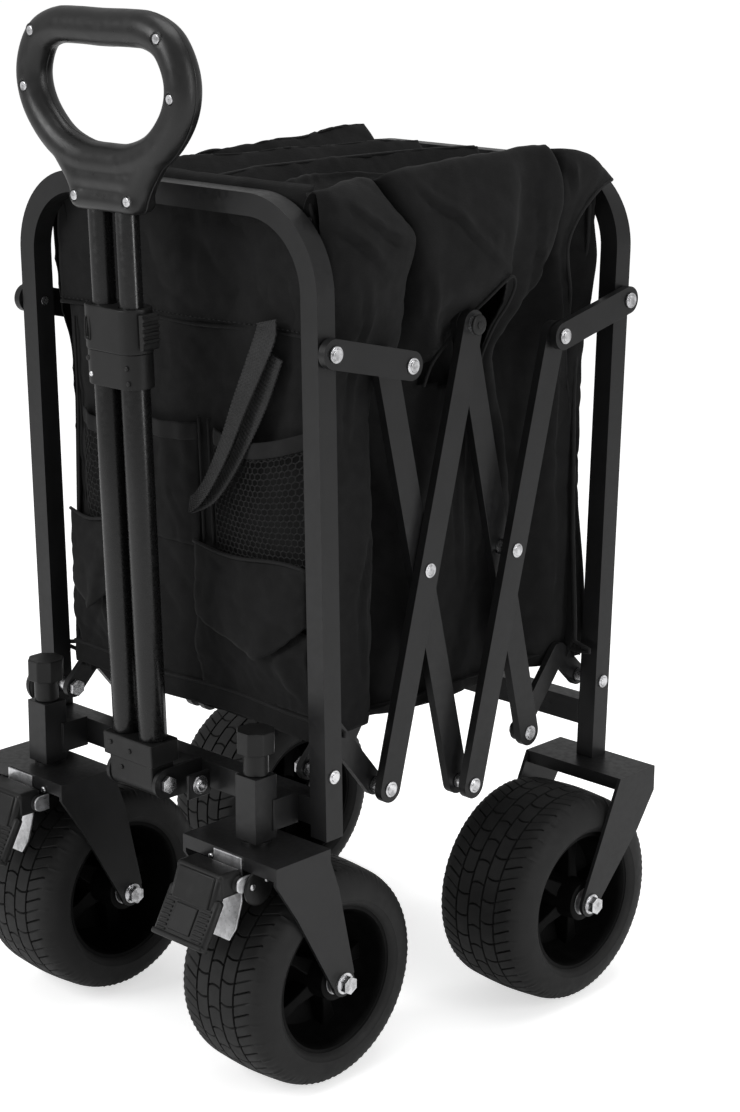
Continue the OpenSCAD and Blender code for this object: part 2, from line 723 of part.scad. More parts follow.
front_frame();
front_rail();
caster_sockets();
socket_caps();
handle_bracket();
frame_bolts_front();
bag_front();
handle_base();
outer_tubes();
lower_collar();
upper_collar();
latch_lever();
inner_tubes();
grip_front();
grip_back();
grip_screws();
caster_fork(left);  // caster_fork_left
caster_fork(right);  // caster_fork_right
caster_axle(left);  // caster_axle_left
caster_axle(right);  // caster_axle_right
brake_plate(left);  // brake_plate_left
brake_plate(right);  // brake_plate_right
brake_pedal(left);  // brake_pedal_left
brake_pedal(right);  // brake_pedal_right
wheel_at(left) rim(stem_x, caster_wheel);  // front_rim_left
wheel_at(right) rim(stem_x, caster_wheel);  // front_rim_right
wheel_at(left) tyre(stem_x, caster_wheel);  // front_tyre_left
wheel_at(right) tyre(stem_x, caster_wheel);  // front_tyre_right
wheel_at(left) bearings(stem_x, caster_wheel);  // front_bearings_left
wheel_at(right) bearings(stem_x, caster_wheel);  // front_bearings_right
rear_frame();
rear_rail();
rear_fork(left);  // rear_fork_left
rear_fork(right);  // rear_fork_right
rear_axles();
frame_bolts_rear();
bag_rear();
wheel_at(left) rim(rear_x, rear_wheel);  // rear_rim_left
wheel_at(right) rim(rear_x, rear_wheel);  // rear_rim_right
wheel_at(left) tyre(rear_x, rear_wheel);  // rear_tyre_left
wheel_at(right) tyre(rear_x, rear_wheel);  // rear_tyre_right
wheel_at(left) bearings(rear_x, rear_wheel);  // rear_bearings_left
wheel_at(right) bearings(rear_x, rear_wheel);  // rear_bearings_right
swing_links_front();
swing_links_rear();
upper_links_front();
upper_links_rear();
bar_1(left);  // bar_1_left
bar_1(right);  // bar_1_right
bar_2(left);  // bar_2_left
bar_2(right);  // bar_2_right
bar_3(left);  // bar_3_left
bar_3(right);  // bar_3_right
bar_4(left);  // bar_4_left
bar_4(right);  // bar_4_right
cross_pins_front();
cross_pins_rear();
link_pins_front();
link_pins_rear();
centre_spools();
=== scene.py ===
"""Folding camp wagon, folded: materials, softened steel and plastic, tyres, grip, bag, details."""
import json
import math

import bmesh
import bpy
import numpy as np
from mathutils import Matrix, Vector, noise
from mathutils.bvhtree import BVHTree

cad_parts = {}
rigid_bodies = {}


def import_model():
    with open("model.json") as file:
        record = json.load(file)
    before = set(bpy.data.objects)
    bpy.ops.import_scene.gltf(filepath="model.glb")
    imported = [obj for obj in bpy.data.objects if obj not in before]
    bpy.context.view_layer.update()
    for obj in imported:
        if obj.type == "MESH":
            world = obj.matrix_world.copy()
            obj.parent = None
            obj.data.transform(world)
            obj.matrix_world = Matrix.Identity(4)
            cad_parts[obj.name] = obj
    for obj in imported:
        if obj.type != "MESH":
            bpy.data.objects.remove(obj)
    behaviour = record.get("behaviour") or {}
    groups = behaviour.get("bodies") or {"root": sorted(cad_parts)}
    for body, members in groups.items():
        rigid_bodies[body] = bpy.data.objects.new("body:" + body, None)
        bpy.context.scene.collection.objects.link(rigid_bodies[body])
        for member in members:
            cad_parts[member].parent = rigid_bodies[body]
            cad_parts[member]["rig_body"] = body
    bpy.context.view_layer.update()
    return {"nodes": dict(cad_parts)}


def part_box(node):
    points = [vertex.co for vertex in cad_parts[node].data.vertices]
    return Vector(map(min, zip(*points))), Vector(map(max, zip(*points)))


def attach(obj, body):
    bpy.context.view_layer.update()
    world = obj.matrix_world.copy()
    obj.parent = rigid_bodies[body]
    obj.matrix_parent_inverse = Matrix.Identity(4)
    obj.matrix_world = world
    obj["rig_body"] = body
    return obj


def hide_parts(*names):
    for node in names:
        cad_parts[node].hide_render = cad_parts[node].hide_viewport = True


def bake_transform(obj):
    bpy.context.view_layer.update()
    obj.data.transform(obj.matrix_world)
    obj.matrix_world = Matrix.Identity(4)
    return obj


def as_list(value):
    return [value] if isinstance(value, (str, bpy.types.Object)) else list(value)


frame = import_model()
nodes = frame["nodes"]
scene = bpy.context.scene

# ---- the shared frame ------------------------------------------------------

MM = 0.001
MID = (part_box("front_frame")[0].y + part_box("rear_frame")[1].y) / 2 / MM
LEFT, RIGHT = -1, 1
FRONT, REAR = -1, 1


def P(x, y, z):
    """A point in mm, with y from the plane midway between the end frames, in metres in the row frame."""
    return Vector((x * MM, (y + MID) * MM, z * MM))


def mid_box(node):
    """A CAD node's box as (low, high) in the same millimetres as P."""
    low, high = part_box(node)
    shift = Vector((0, MID, 0))
    return low / MM - shift, high / MM - shift


# ---- mesh helpers ----------------------------------------------------------


def new_object(name, mesh):
    obj = bpy.data.objects.new(name, mesh)
    scene.collection.objects.link(obj)
    return obj


def shade_smooth(mesh):
    mesh.polygons.foreach_set("use_smooth", [True] * len(mesh.polygons))


def mesh_from(name, points, faces):
    """An object from points in mm, as P takes them, and faces."""
    mesh = bpy.data.meshes.new(name)
    mesh.from_pydata([P(*p) for p in points], [], [list(map(int, f)) for f in faces])
    mesh.validate()
    shade_smooth(mesh)
    return new_object(name, mesh)


def grid_faces(rows, columns, wrap_columns=False, wrap_rows=False):
    """Quads of a grid whose points run column by column within each row."""
    faces = []
    for i in range(rows if wrap_rows else rows - 1):
        for j in range(columns if wrap_columns else columns - 1):
            a, b = i * columns + j, i * columns + (j + 1) % columns
            c, d = ((i + 1) % rows) * columns + (j + 1) % columns, ((i + 1) % rows) * columns + j
            faces.append((a, b, c, d))
    return faces


def applied(obj):
    """Replaces an object's mesh by the result of its modifiers."""
    bpy.context.view_layer.update()
    result = bpy.data.meshes.new_from_object(obj.evaluated_get(bpy.context.evaluated_depsgraph_get()))
    obj.modifiers.clear()
    obj.data = result
    return obj


def bevelled(obj, width, angle=30, segments=2):
    """Rounds an object's edges, width in mm."""
    bevel = obj.modifiers.new("bevel", "BEVEL")
    bevel.width = width * MM
    bevel.segments = segments
    bevel.limit_method = "ANGLE"
    bevel.angle_limit = math.radians(angle)
    bevel.harden_normals = True
    return applied(obj)


def solid(obj, thickness, offset=0.0):
    """Gives a sheet a thickness in mm."""
    thick = obj.modifiers.new("thickness", "SOLIDIFY")
    thick.thickness = thickness * MM
    thick.offset = offset
    return applied(obj)


def joined(name, objects):
    """One object from several, which it takes the place of."""
    mesh = bpy.data.meshes.new(name)
    made = bmesh.new()
    for obj in objects:
        part = obj.data.copy()
        part.transform(obj.matrix_world)
        made.from_mesh(part)
        bpy.data.meshes.remove(part)
        bpy.data.objects.remove(obj)
    made.to_mesh(mesh)
    made.free()
    shade_smooth(mesh)
    return new_object(name, mesh)


def clad(obj, material):
    """Gives a piece its only material, and looks up the slot that goes with it without keeping it."""
    obj.data.materials.clear()
    obj.data.materials.append(material)
    # Blender numbers a name that the frame already has, as in frame_paint.001
    name = material.name.split(".")[0]
    SLOTS.get(name, name)


def finish_piece(obj, body, material, *replaced):
    """Rides a piece on a body, gives it its material and hides the CAD nodes it stands for."""
    clad(obj, material)
    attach(obj, body)
    if replaced:
        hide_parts(*replaced)
    return obj


def lathe(name, outline, centre, turns=72, closed=True):
    """A solid of revolution about an X axis through centre, from an outline of (x, radius) in mm."""
    points = []
    for x, r in outline:
        for j in range(turns):
            a = 2 * math.pi * j / turns
            points.append((centre[0] + x, centre[1] + r * math.sin(a), centre[2] + r * math.cos(a)))
    return mesh_from(name, points, grid_faces(len(outline), turns, True, closed))


def block(name, low, high, bevel=1.5, segments=3):
    """A rounded block between two corners in mm."""
    xs, ys, zs = zip(low, high)
    points = [(x, y, z) for z in zs for y in ys for x in xs]
    faces = [(0, 2, 3, 1), (4, 5, 7, 6), (0, 1, 5, 4), (2, 6, 7, 3), (0, 4, 6, 2), (1, 3, 7, 5)]
    obj = mesh_from(name, points, faces)
    return bevelled(obj, bevel, 20, segments)


def disc(name, centre, axis, radius, length, dome=0.35, sides=28):
    """A round stud with a rolled edge that stands out from centre along axis."""
    outline = [(0, radius), (length * 0.6, radius), (length * 0.86, radius * (1 - dome * 0.3)),
               (length, radius * (1 - dome)), (length, 0.01)]
    obj = mesh_from(name, [], [])
    points = []
    for x, r in outline:
        for j in range(sides):
            a = 2 * math.pi * j / sides
            points.append((r * math.cos(a), r * math.sin(a), x))
    mesh = obj.data
    mesh.clear_geometry()
    mesh.from_pydata([Vector(p) * MM for p in points], [], grid_faces(len(outline), sides, True)
                     + [tuple(range(sides - 1, -1, -1))])
    turn = Vector(axis).to_track_quat("Z", "Y").to_matrix().to_4x4()
    mesh.transform(Matrix.Translation(P(*centre)) @ turn)
    shade_smooth(mesh)
    return obj


def smooth_line(points, steps):
    """Points of a Catmull-Rom curve through the given ones, with steps to each span."""
    p = np.array(points, float)
    p = np.vstack([2 * p[0] - p[1], p, 2 * p[-1] - p[-2]])
    out = []
    for i in range(1, len(p) - 2):
        for t in np.linspace(0, 1, steps, endpoint=False):
            a, b, c, d = p[i - 1], p[i], p[i + 1], p[i + 2]
            out.append(0.5 * ((2 * b) + (c - a) * t + (2 * a - 5 * b + 4 * c - d) * t * t
                              + (3 * b - a - 3 * c + d) * t ** 3))
    out.append(p[-2])
    return np.array(out)


def tube(name, line, radius, sides=8, closed=False, flat=1.0, up=(0, 0, 1)):
    """A round or flattened cord along a line of points in mm."""
    line = np.array(line, float)
    n = len(line)
    tangents = np.roll(line, -1, 0) - np.roll(line, 1, 0)
    if not closed:
        tangents[0], tangents[-1] = line[1] - line[0], line[-1] - line[-2]
    points = []
    side = None
    for p, t in zip(line, tangents):
        t = t / np.linalg.norm(t)
        side = np.cross(up, t) if side is None else side - t * side.dot(t)
        if np.linalg.norm(side) < 1e-6:
            side = np.cross((0, 1, 0), t)
        side = side / np.linalg.norm(side)
        other = np.cross(t, side)
        for j in range(sides):
            a = 2 * math.pi * j / sides
            points.append(p + radius * (math.cos(a) * side + flat * math.sin(a) * other))
    faces = grid_faces(n, sides, True, closed)
    if not closed:
        faces += [tuple(range(sides - 1, -1, -1)), tuple(range((n - 1) * sides, n * sides))]
    return mesh_from(name, points, faces)


# ---- materials -------------------------------------------------------------


class Nodes:
    """Short names for building a material's node tree."""

    def __init__(self, name):
        self.material = bpy.data.materials.new(name)
        self.material.use_nodes = True
        self.tree = self.material.node_tree
        self.shader = self.tree.nodes["Principled BSDF"]
        self.place = self.add("ShaderNodeTexCoord").outputs["Object"]

    def add(self, kind, **values):
        node = self.tree.nodes.new(kind)
        for key, value in values.items():
            setattr(node, key, value)
        return node

    def link(self, a, b):
        self.tree.links.new(a, b)

    def math(self, operation, a, b=None):
        node = self.add("ShaderNodeMath", operation=operation)
        for socket, value in zip(node.inputs, (a, b)):
            if value is None:
                continue
            if isinstance(value, (int, float)):
                socket.default_value = value
            else:
                self.link(value, socket)
        return node.outputs[0]

    def noise(self, scale, detail=3.0, roughness=0.55):
        node = self.add("ShaderNodeTexNoise")
        node.inputs["Scale"].default_value = scale
        node.inputs["Detail"].default_value = detail
        node.inputs["Roughness"].default_value = roughness
        self.link(self.place, node.inputs["Vector"])
        return node.outputs["Fac"]

    def ramp(self, value, low, high, out_low, out_high):
        node = self.add("ShaderNodeMapRange")
        for key, v in zip(("From Min", "From Max", "To Min", "To Max"), (low, high, out_low, out_high)):
            node.inputs[key].default_value = v
        self.link(value, node.inputs["Value"])
        return node.outputs[0]

    def colours(self, value, low, high):
        """Mixes two colours by a value from 0 to 1."""
        node = self.add("ShaderNodeMix", data_type="RGBA")
        node.inputs["A"].default_value = (*low, 1)
        node.inputs["B"].default_value = (*high, 1)
        self.link(value, node.inputs["Factor"])
        self.link(node.outputs["Result"], self.shader.inputs["Base Color"])

    def bump(self, height, strength, distance, under=None):
        node = self.add("ShaderNodeBump")
        node.inputs["Strength"].default_value = strength
        node.inputs["Distance"].default_value = distance * MM
        self.link(height, node.inputs["Height"])
        if under is not None:
            self.link(under, node.inputs["Normal"])
        self.link(node.outputs["Normal"], self.shader.inputs["Normal"])
        return node.outputs["Normal"]

    def rough(self, value, low, high, smoother, rougher):
        self.link(self.ramp(value, low, high, smoother, rougher), self.shader.inputs["Roughness"])

    def plain(self, **values):
        for key, value in values.items():
            self.shader.inputs[key.replace("_", " ")].default_value = value


def grey(value, blue=1.0):
    return (value, value, value * blue)


def coated_steel(name, low, high, roughness, specular, wear=0.5, peel=0.22):
    """Satin powder coat: fine orange peel, faint cloudiness, and worn, lighter edges."""
    m = Nodes(name)
    m.plain(Specular_IOR_Level=specular)
    cloud = m.noise(38, 4)
    worn = m.ramp(m.add("ShaderNodeNewGeometry").outputs["Pointiness"], 0.515, 0.56, 0.0, wear)
    m.colours(m.math("ADD", m.ramp(cloud, 0.3, 0.7, 0.0, 0.55), worn), grey(low), grey(high, 1.04))
    m.rough(m.noise(210, 2), 0.35, 0.65, roughness - 0.05, roughness + 0.07)
    skin = m.bump(m.noise(900, 2), peel, 0.12)
    m.bump(m.noise(70, 2), 0.45 * peel, 0.4, skin)
    return m.material


def moulded(name, low, high, roughness, specular, grain=1500):
    """Moulded plastic or rubber: sparked grain, flow marks and scuffs."""
    m = Nodes(name)
    m.plain(Specular_IOR_Level=specular)
    scuffs = m.ramp(m.noise(60, 8, 0.7), 0.5, 0.72, 0.0, 1.0)
    m.colours(scuffs, grey(low), grey(high))
    m.rough(m.noise(120, 3), 0.3, 0.7, roughness - 0.06, roughness + 0.08)
    voronoi = m.add("ShaderNodeTexVoronoi")
    voronoi.inputs["Scale"].default_value = grain
    m.link(m.place, voronoi.inputs["Vector"])
    m.bump(voronoi.outputs["Distance"], 0.25, 0.1)
    return m.material


def bright_metal(name, low, high, roughness, brushed=False):
    """Zinc or stamped steel with fine scratches and dull spots."""
    m = Nodes(name)
    m.plain(Metallic=1.0)
    stretch = m.add("ShaderNodeMapping")
    stretch.inputs["Scale"].default_value = (300, 40, 300) if brushed else (260, 260, 260)
    m.link(m.place, stretch.inputs["Vector"])
    scratches = m.add("ShaderNodeTexNoise")
    scratches.inputs["Scale"].default_value = 4
    scratches.inputs["Detail"].default_value = 6
    m.link(stretch.outputs["Vector"], scratches.inputs["Vector"])
    spots = m.ramp(m.noise(140, 4), 0.4, 0.65, 0.0, 1.0)
    m.colours(spots, grey(high, 1.02), grey(low, 1.02))
    m.rough(scratches.outputs["Fac"], 0.3, 0.7, roughness - 0.08, roughness + 0.12)
    m.bump(scratches.outputs["Fac"], 0.15, 0.08)
    return m.material


def woven(name, low, high, thread, roughness=0.8, specular=0.12, sheen=0.04, bump=0.5):
    """Plain-woven cloth: threads run up and across, with slubs, faint crumples and dust."""
    m = Nodes(name)
    m.plain(Specular_IOR_Level=specular, Sheen_Weight=sheen, Sheen_Roughness=0.5)
    split = m.add("ShaderNodeSeparateXYZ")
    m.link(m.place, split.inputs[0])
    wobble = m.math("MULTIPLY", m.noise(180, 2), thread * 1.5 * MM)
    across = m.math("ADD", m.math("ADD", split.outputs["X"], split.outputs["Y"]), wobble)
    along = m.math("ADD", split.outputs["Z"], wobble)
    turns = math.pi / (thread * MM)
    warp = m.math("ABSOLUTE", m.math("SINE", m.math("MULTIPLY", across, turns)))
    weft = m.math("ABSOLUTE", m.math("SINE", m.math("MULTIPLY", along, turns)))
    weave = m.math("MULTIPLY", warp, weft)
    dust = m.ramp(m.noise(26, 6, 0.65), 0.35, 0.7, 0.0, 0.6)
    m.colours(m.math("ADD", dust, m.math("MULTIPLY", weave, 0.4)), grey(low), grey(high, 1.03))
    m.rough(m.noise(90, 3), 0.3, 0.7, roughness - 0.08, roughness + 0.08)
    crumple = m.bump(m.noise(34, 4, 0.5), 0.35, 1.6)
    m.bump(weave, bump, 0.25, crumple)
    return m.material


# the slot of each material whose name isn't its slot
SLOTS = {"tube_paint": "frame_paint", "inner_tube_paint": "frame_paint", "rim_plastic": "moulded_plastic",
         "zinc_plate": "zinc_fasteners", "binding_fabric": "bag_fabric", "webbing": "bag_fabric",
         "net_thread": "bag_fabric"}

paint = coated_steel("frame_paint", 0.0075, 0.0125, 0.34, 0.3)
dark_paint = coated_steel("tube_paint", 0.005, 0.008, 0.26, 0.36, 0.0, 0.02)
inner_paint = coated_steel("inner_tube_paint", 0.006, 0.010, 0.22, 0.5, 0.0, 0.02)
grip_plastic = moulded("grip_plastic", 0.0085, 0.013, 0.33, 0.4, 1800)
plastic = moulded("moulded_plastic", 0.007, 0.012, 0.42, 0.28)
# near-black copy of moulded_plastic: painted shade for the inside of the rims' dishes and for the collar's
# slot
rim_plastic = moulded("rim_plastic", 0.002, 0.004, 0.5, 0.08)
rubber = moulded("tyre_rubber", 0.010, 0.016, 0.58, 0.24, 900)
zinc = bright_metal("zinc_plate", 0.42, 0.82, 0.26)
steel = bright_metal("bearing_steel", 0.3, 0.55, 0.35)
brake_metal = bright_metal("brake_steel", 0.55, 0.85, 0.34, True)

# ---- camera, floor and light -----------------------------------------------


def make_camera():
    """Three-quarter view from the front right, a little above the top of the wagon."""
    right = Vector((0.72171, 0.69217, 0.00612))
    up = Vector((-0.18659, 0.18602, 0.96466))
    back = right.cross(up).normalized()
    up = back.cross(right).normalized()
    data = bpy.data.cameras.new("camera")
    data.lens = 78.92
    data.shift_x = 0.0054
    data.shift_y = -0.0040
    camera = new_object("camera", data)
    camera.matrix_world = Matrix.Translation(Vector((1.5418, -1.5087, 1.0136))) @ Matrix(
        (right, up, back)).transposed().to_4x4()
    scene.camera = camera


def make_world():
    """White behind the wagon and a softer white around it."""
    world = bpy.data.worlds.new("studio")
    world.use_nodes = True
    tree = world.node_tree
    background = tree.nodes["Background"]
    background.inputs["Color"].default_value = (1, 1, 1, 1)
    path = tree.nodes.new("ShaderNodeLightPath")
    strength = tree.nodes.new("ShaderNodeMapRange")
    strength.inputs["To Min"].default_value = 0.45
    strength.inputs["To Max"].default_value = 1.0
    tree.links.new(path.outputs["Is Camera Ray"], strength.inputs["Value"])
    tree.links.new(strength.outputs[0], background.inputs["Strength"])
    scene.world = world
    scene.view_settings.view_transform = "Standard"
    scene.view_settings.look = "None"


def make_floor():
    mesh = bpy.data.meshes.new("floor")
    size = 30
    corners = [(-size, -size, 0), (size, -size, 0), (size, size, 0), (-size, size, 0)]
    mesh.from_pydata(corners, [], [(0, 1, 2, 3)])
    floor = new_object("floor", mesh)
    m = Nodes("floor_white")
    m.colours(m.noise(3), (0.93, 0.93, 0.93), (0.96, 0.96, 0.96))
    m.plain(Roughness=0.9, Specular_IOR_Level=0.0)
    m.plain(Emission_Color=(1, 1, 1, 1))
    seen = m.add("ShaderNodeLightPath")
    glow = m.add("ShaderNodeMapRange")
    glow.inputs["To Min"].default_value = 0.12
    glow.inputs["To Max"].default_value = 0.6
    m.link(seen.outputs["Is Camera Ray"], glow.inputs["Value"])
    m.link(glow.outputs[0], m.shader.inputs["Emission Strength"])
    mesh.materials.append(m.material)


def area_light(name, place, target, size, power):
    data = bpy.data.lights.new(name, "AREA")
    data.shape = "RECTANGLE"
    data.size, data.size_y = size
    data.energy = power
    light = new_object(name, data)
    light.location = place
    light.rotation_euler = (Vector(target) - Vector(place)).to_track_quat("-Z", "Y").to_euler()


make_camera()
make_world()
make_floor()
middle = (0, 0, 0.45)
area_light("key_front_left", (-1.0, -2.6, 1.9), middle, (1.2, 1.6), 42)
area_light("strip_right", (2.9, 0.4, 1.3), middle, (0.5, 2.2), 22)
area_light("top_soft", (0.2, 0.2, 3.0), middle, (1.8, 1.8), 26)

# ---- softened CAD pieces ----------------------------------------------------


def softened(node, width, material, segments=2, angle=28):
    """A copy of a CAD node with its hard edges rounded, which stands for it."""
    mesh = nodes[node].data.copy()
    made = bmesh.new()
    made.from_mesh(mesh)
    bmesh.ops.remove_doubles(made, verts=made.verts, dist=2e-6)
    bmesh.ops.dissolve_limit(made, angle_limit=math.radians(1.0), verts=made.verts, edges=made.edges)
    made.to_mesh(mesh)
    made.free()
    mesh.materials.clear()
    shade_smooth(mesh)
    if "custom_normal" in mesh.attributes:
        mesh.attributes.remove(mesh.attributes["custom_normal"])
    obj = new_object(node + "_formed", mesh)
    bevelled(obj, width, angle, segments)
    body = nodes[node]["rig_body"]
    return finish_piece(obj, body, material, node)


for node in ("front_frame", "rear_frame", "front_rail", "rear_rail", "caster_sockets", "handle_bracket",
             "upper_links_front", "upper_links_rear", "swing_links_front", "swing_links_rear"):
    softened(node, 1.3 if "link" not in node else 1.0, paint)
for k in range(1, 5):
    for side in ("left", "right"):
        softened(f"bar_{k}_{side}", 1.2, paint)
for side in ("left", "right"):
    softened(f"caster_fork_{side}", 1.0, paint)
    softened(f"rear_fork_{side}", 1.0, paint)
    softened(f"caster_axle_{side}", 0.7, zinc)
    softened(f"brake_plate_{side}", 0.5, brake_metal)
    for end in ("front", "rear"):
        softened(f"{end}_bearings_{side}", 0.5, steel)
for node in ("frame_bolts_front", "frame_bolts_rear", "cross_pins_front", "cross_pins_rear",
             "link_pins_front", "link_pins_rear", "centre_spools", "rear_axles", "grip_screws"):
    softened(node, 0.7, zinc)
softened("socket_caps", 1.4, plastic)
softened("handle_base", 2.2, plastic, segments=3)
softened("lower_collar", 2.0, plastic, segments=3)
softened("upper_collar", 2.0, plastic, segments=3)
softened("latch_lever", 0.8, plastic)

# ---- wheels ------------------------------------------------------------------

WHEEL_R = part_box("front_tyre_left")[1].z / 2 / MM
PITCHES = 30
GROOVE = 2.6


def tyre_rows():
    """Rows across half a tyre, from the middle out: x, radius, kind of ground at that row."""
    tread = [(0, 0.0, "block"), (3.3, 0.05, "block"), (6.4, 0.1, "block"), (6.9, 0.15, "groove"),
             (8.1, 0.15, "groove"), (8.6, 0.2, "block"), (12, 0.35, "block"), (15, 0.5, "block"),
             (18, 0.7, "block"), (21.4, 0.9, "block"), (21.9, 1.0, "groove"), (23.1, 1.1, "groove"),
             (23.6, 1.1, "block"), (27.5, 1.4, "block"), (31.5, 1.7, "block"), (35, 2.1, "block"),
             (38, 2.7, "block"), (40, 3.6, "wall"), (42.5, 4.8, "nib"), (45, 6.6, "nib"), (47.2, 8.8, "nib"),
             (49, 11.3, "wall"), (50.6, 14.4, "wall"), (51.8, 18.2, "wall"), (52.6, 22.5, "wall"),
             (52.9, 26.0, "wall"), (52.9, 27.4, "wall"), (51.9, 28.4, "wall"), (51.4, 30.2, "wall"),
             (49.0, 32.5, "wall"), (47.2, 33.8, "wall")]
    return [(x, WHEEL_R - drop, kind) for x, drop, kind in tread]


def tyre_mesh(name, centre):
    """Road tyre: staggered arched blocks between two pairs of grooves, slanted shoulders, nibs."""
    fractions = (0, 0.055, 0.2, 0.35, 0.445, 0.5, 0.555, 0.7, 0.85, 0.945)
    half = tyre_rows()
    rows = [(-x, r, kind) for x, r, kind in reversed(half[1:])] + half
    points = []
    for x, r, kind in rows:
        reach = abs(x)
        if reach < 8:
            sipes, shear = (0,), 2.6 * (1 - (reach / 7.5) ** 2)
        elif reach < 22.8:
            sipes, shear = (0.5,), -2.4 * (1 - ((reach - 15) / 7.8) ** 2)
        else:
            sipes, shear = (0, 0.5), 7.5 * min(1.0, max(0.0, (reach - 23) / 15))
        if kind == "groove":
            shear = 0
        for pitch in range(PITCHES):
            for k, fraction in enumerate(fractions):
                depth = 0.0
                if kind == "groove":
                    depth = GROOVE
                elif kind == "block" and fraction in sipes:
                    depth = GROOVE * (0.8 if fraction == 0 or reach < 22.8 else 0.45)
                elif kind == "nib" and k in (2, 5, 8):
                    depth = -0.8
                a = 2 * math.pi * (pitch + fraction) / PITCHES + shear / WHEEL_R
                points.append((centre[0] + x, centre[1] + (r - depth) * math.sin(a),
                               centre[2] + (r - depth) * math.cos(a)))
    columns = PITCHES * len(fractions)
    return mesh_from(name, points, grid_faces(len(rows), columns, True, False))


def sharpened(obj, degrees=35):
    obj.data.set_sharp_from_angle(angle=math.radians(degrees))
    return obj


def rim_mesh(name, centre, outside):
    """Deep dished rim: a lipped barrel, a web off its middle, five ribs and a hub."""
    lip, seat, web = 47, 67.6, 6 * outside
    outline = [(-lip, 66.8), (-lip, 63), (-lip + 2.5, 61.4), (-lip + 7, 60.8), (-26, 58.5), (web - 12, 56),
               (web - 5, 52), (web - 4, 24), (web - 10, 20), (-48, 18.6), (-49, 17.4), (-49, 13.1),
               (49, 13.1), (49, 17.4), (48, 18.6), (web + 10, 20), (web + 4, 24), (web + 5, 52),
               (web + 12, 56), (26, 58.5), (lip - 7, 60.8), (lip - 2.5, 61.4),
               (lip, 63), (lip, 66.8), (lip - 1, seat), (-lip + 1, seat)]
    parts = [sharpened(lathe(name + "_ring", outline, centre, 96), 40)]
    for k in range(5):
        a = 2 * math.pi * k / 5 + 0.3
        rib = []
        for r, wide, deep in ((17, 9, 26), (34, 6.5, 20), (57.5, 10, 15)):
            for across, x in ((-1, -1), (1, -1), (1, 1), (-1, 1)):
                w, x = across * wide * (0.8 if x * outside > 0 else 1), web + x * deep
                rib.append((centre[0] + x, centre[1] + r * math.sin(a) + w * math.cos(a),
                            centre[2] + r * math.cos(a) - w * math.sin(a)))
        faces = [(0, 1, 2, 3), (11, 10, 9, 8)]
        for i in (0, 4):
            faces += [(i + j, i + 4 + j, i + 4 + (j + 1) % 4, i + (j + 1) % 4) for j in range(4)]
        parts.append(bevelled(mesh_from(f"{name}_rib_{k}", rib, faces), 1.6, 25))
    return joined(name, parts)


for end in ("front", "rear"):
    for side, out in (("left", LEFT), ("right", RIGHT)):
        low, high = mid_box(f"{end}_tyre_{side}")
        centre = (low + high) / 2
        body = nodes[f"{end}_tyre_{side}"]["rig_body"]
        finish_piece(sharpened(tyre_mesh(f"{end}_tyre_{side}_treaded", centre)), body, rubber,
                     f"{end}_tyre_{side}")
        # the rim takes the near-black plastic, which paints the shade inside its dish
        finish_piece(rim_mesh(f"{end}_rim_{side}_dished", centre, out), body, rim_plastic,
                     f"{end}_rim_{side}")

# ---- handle ------------------------------------------------------------------

base_low = mid_box("handle_base")[0]
HANDLE_LEAN = math.radians(2.3)
SEAT_R = 13
PIVOT = (0, base_low.y + 17.5, base_low.z + SEAT_R)


def H(x, y, z):
    """A point in the handle's own leaning frame, in mm, as P takes it."""
    c, s = math.cos(HANDLE_LEAN), math.sin(HANDLE_LEAN)
    return (x, PIVOT[1] + y * c - z * s, PIVOT[2] + y * s + z * c)


def make_grip():
    """Heart-shaped loop of round section that flares into a flat neck."""
    half = [(0, 649), (32, 649.5), (58, 648), (80, 637), (92.3, 610), (86, 582), (62, 556), (30, 543),
            (0, 541)]
    loop = half + [(-x, z) for x, z in reversed(half[1:-1])]
    ring = smooth_line(loop + loop[:3], 8)[8:8 * (len(loop) + 1)]
    swept = tube("loop", [H(x, 0, z) for x, z in ring], 15.5, 20, closed=True, up=(0, 1, 0))
    parts = [swept]
    for k, (wide, deep, z) in enumerate(((43, 15, 500), (42, 15, 518), (40, 15, 533))):
        parts.append(block(f"neck_{k}", (-wide, -deep, z), (wide, deep, z + 20), 9, 5))
        parts[-1].data.transform(Matrix.Translation(-P(0, 0, 0)))
        lean = Matrix.Translation(P(*PIVOT)) @ Matrix.Rotation(HANDLE_LEAN, 4, "X")
        parts[-1].data.transform(lean)
    for side in (LEFT, RIGHT):
        web = [H(side * x, 0, z) for x, z in ((29, 512), (39, 530), (52, 546))]
        parts.append(tube("web", web, 14, 16, up=(0, 1, 0)))
    grip = joined("grip", parts)
    remesh = grip.modifiers.new("remesh", "REMESH")
    remesh.mode = "VOXEL"
    remesh.voxel_size = 1.9 * MM
    smooth = grip.modifiers.new("smooth", "SMOOTH")
    smooth.factor = 0.6
    smooth.iterations = 14
    applied(grip)
    return grip


def cut_by_plane(obj, name, point, normal):
    """A copy of what lies on the side of the plane that the normal points away from, closed."""
    mesh = obj.data.copy()
    made = bmesh.new()
    made.from_mesh(mesh)
    cut = bmesh.ops.bisect_plane(made, geom=made.verts[:] + made.edges[:] + made.faces[:], plane_co=point,
                                 plane_no=normal, clear_outer=True)
    rim = [e for e in cut["geom_cut"] if isinstance(e, bmesh.types.BMEdge)]
    bmesh.ops.triangle_fill(made, use_beauty=True, edges=rim)
    made.to_mesh(mesh)
    made.free()
    piece = new_object(name, mesh)
    shade_smooth(mesh)
    return piece


def bored(obj, cutters):
    """Cuts the cutters' shapes out of an object."""
    cutter = joined("cutter", cutters)
    cut = obj.modifiers.new("bore", "BOOLEAN")
    cut.operation = "DIFFERENCE"
    cut.solver = "EXACT"
    cut.object = cutter
    applied(obj)
    bpy.data.objects.remove(cutter)
    return obj


SCREWS = [(side * x, z) for side in (LEFT, RIGHT) for x, z in ((78, 644), (91, 598), (33, 512))]


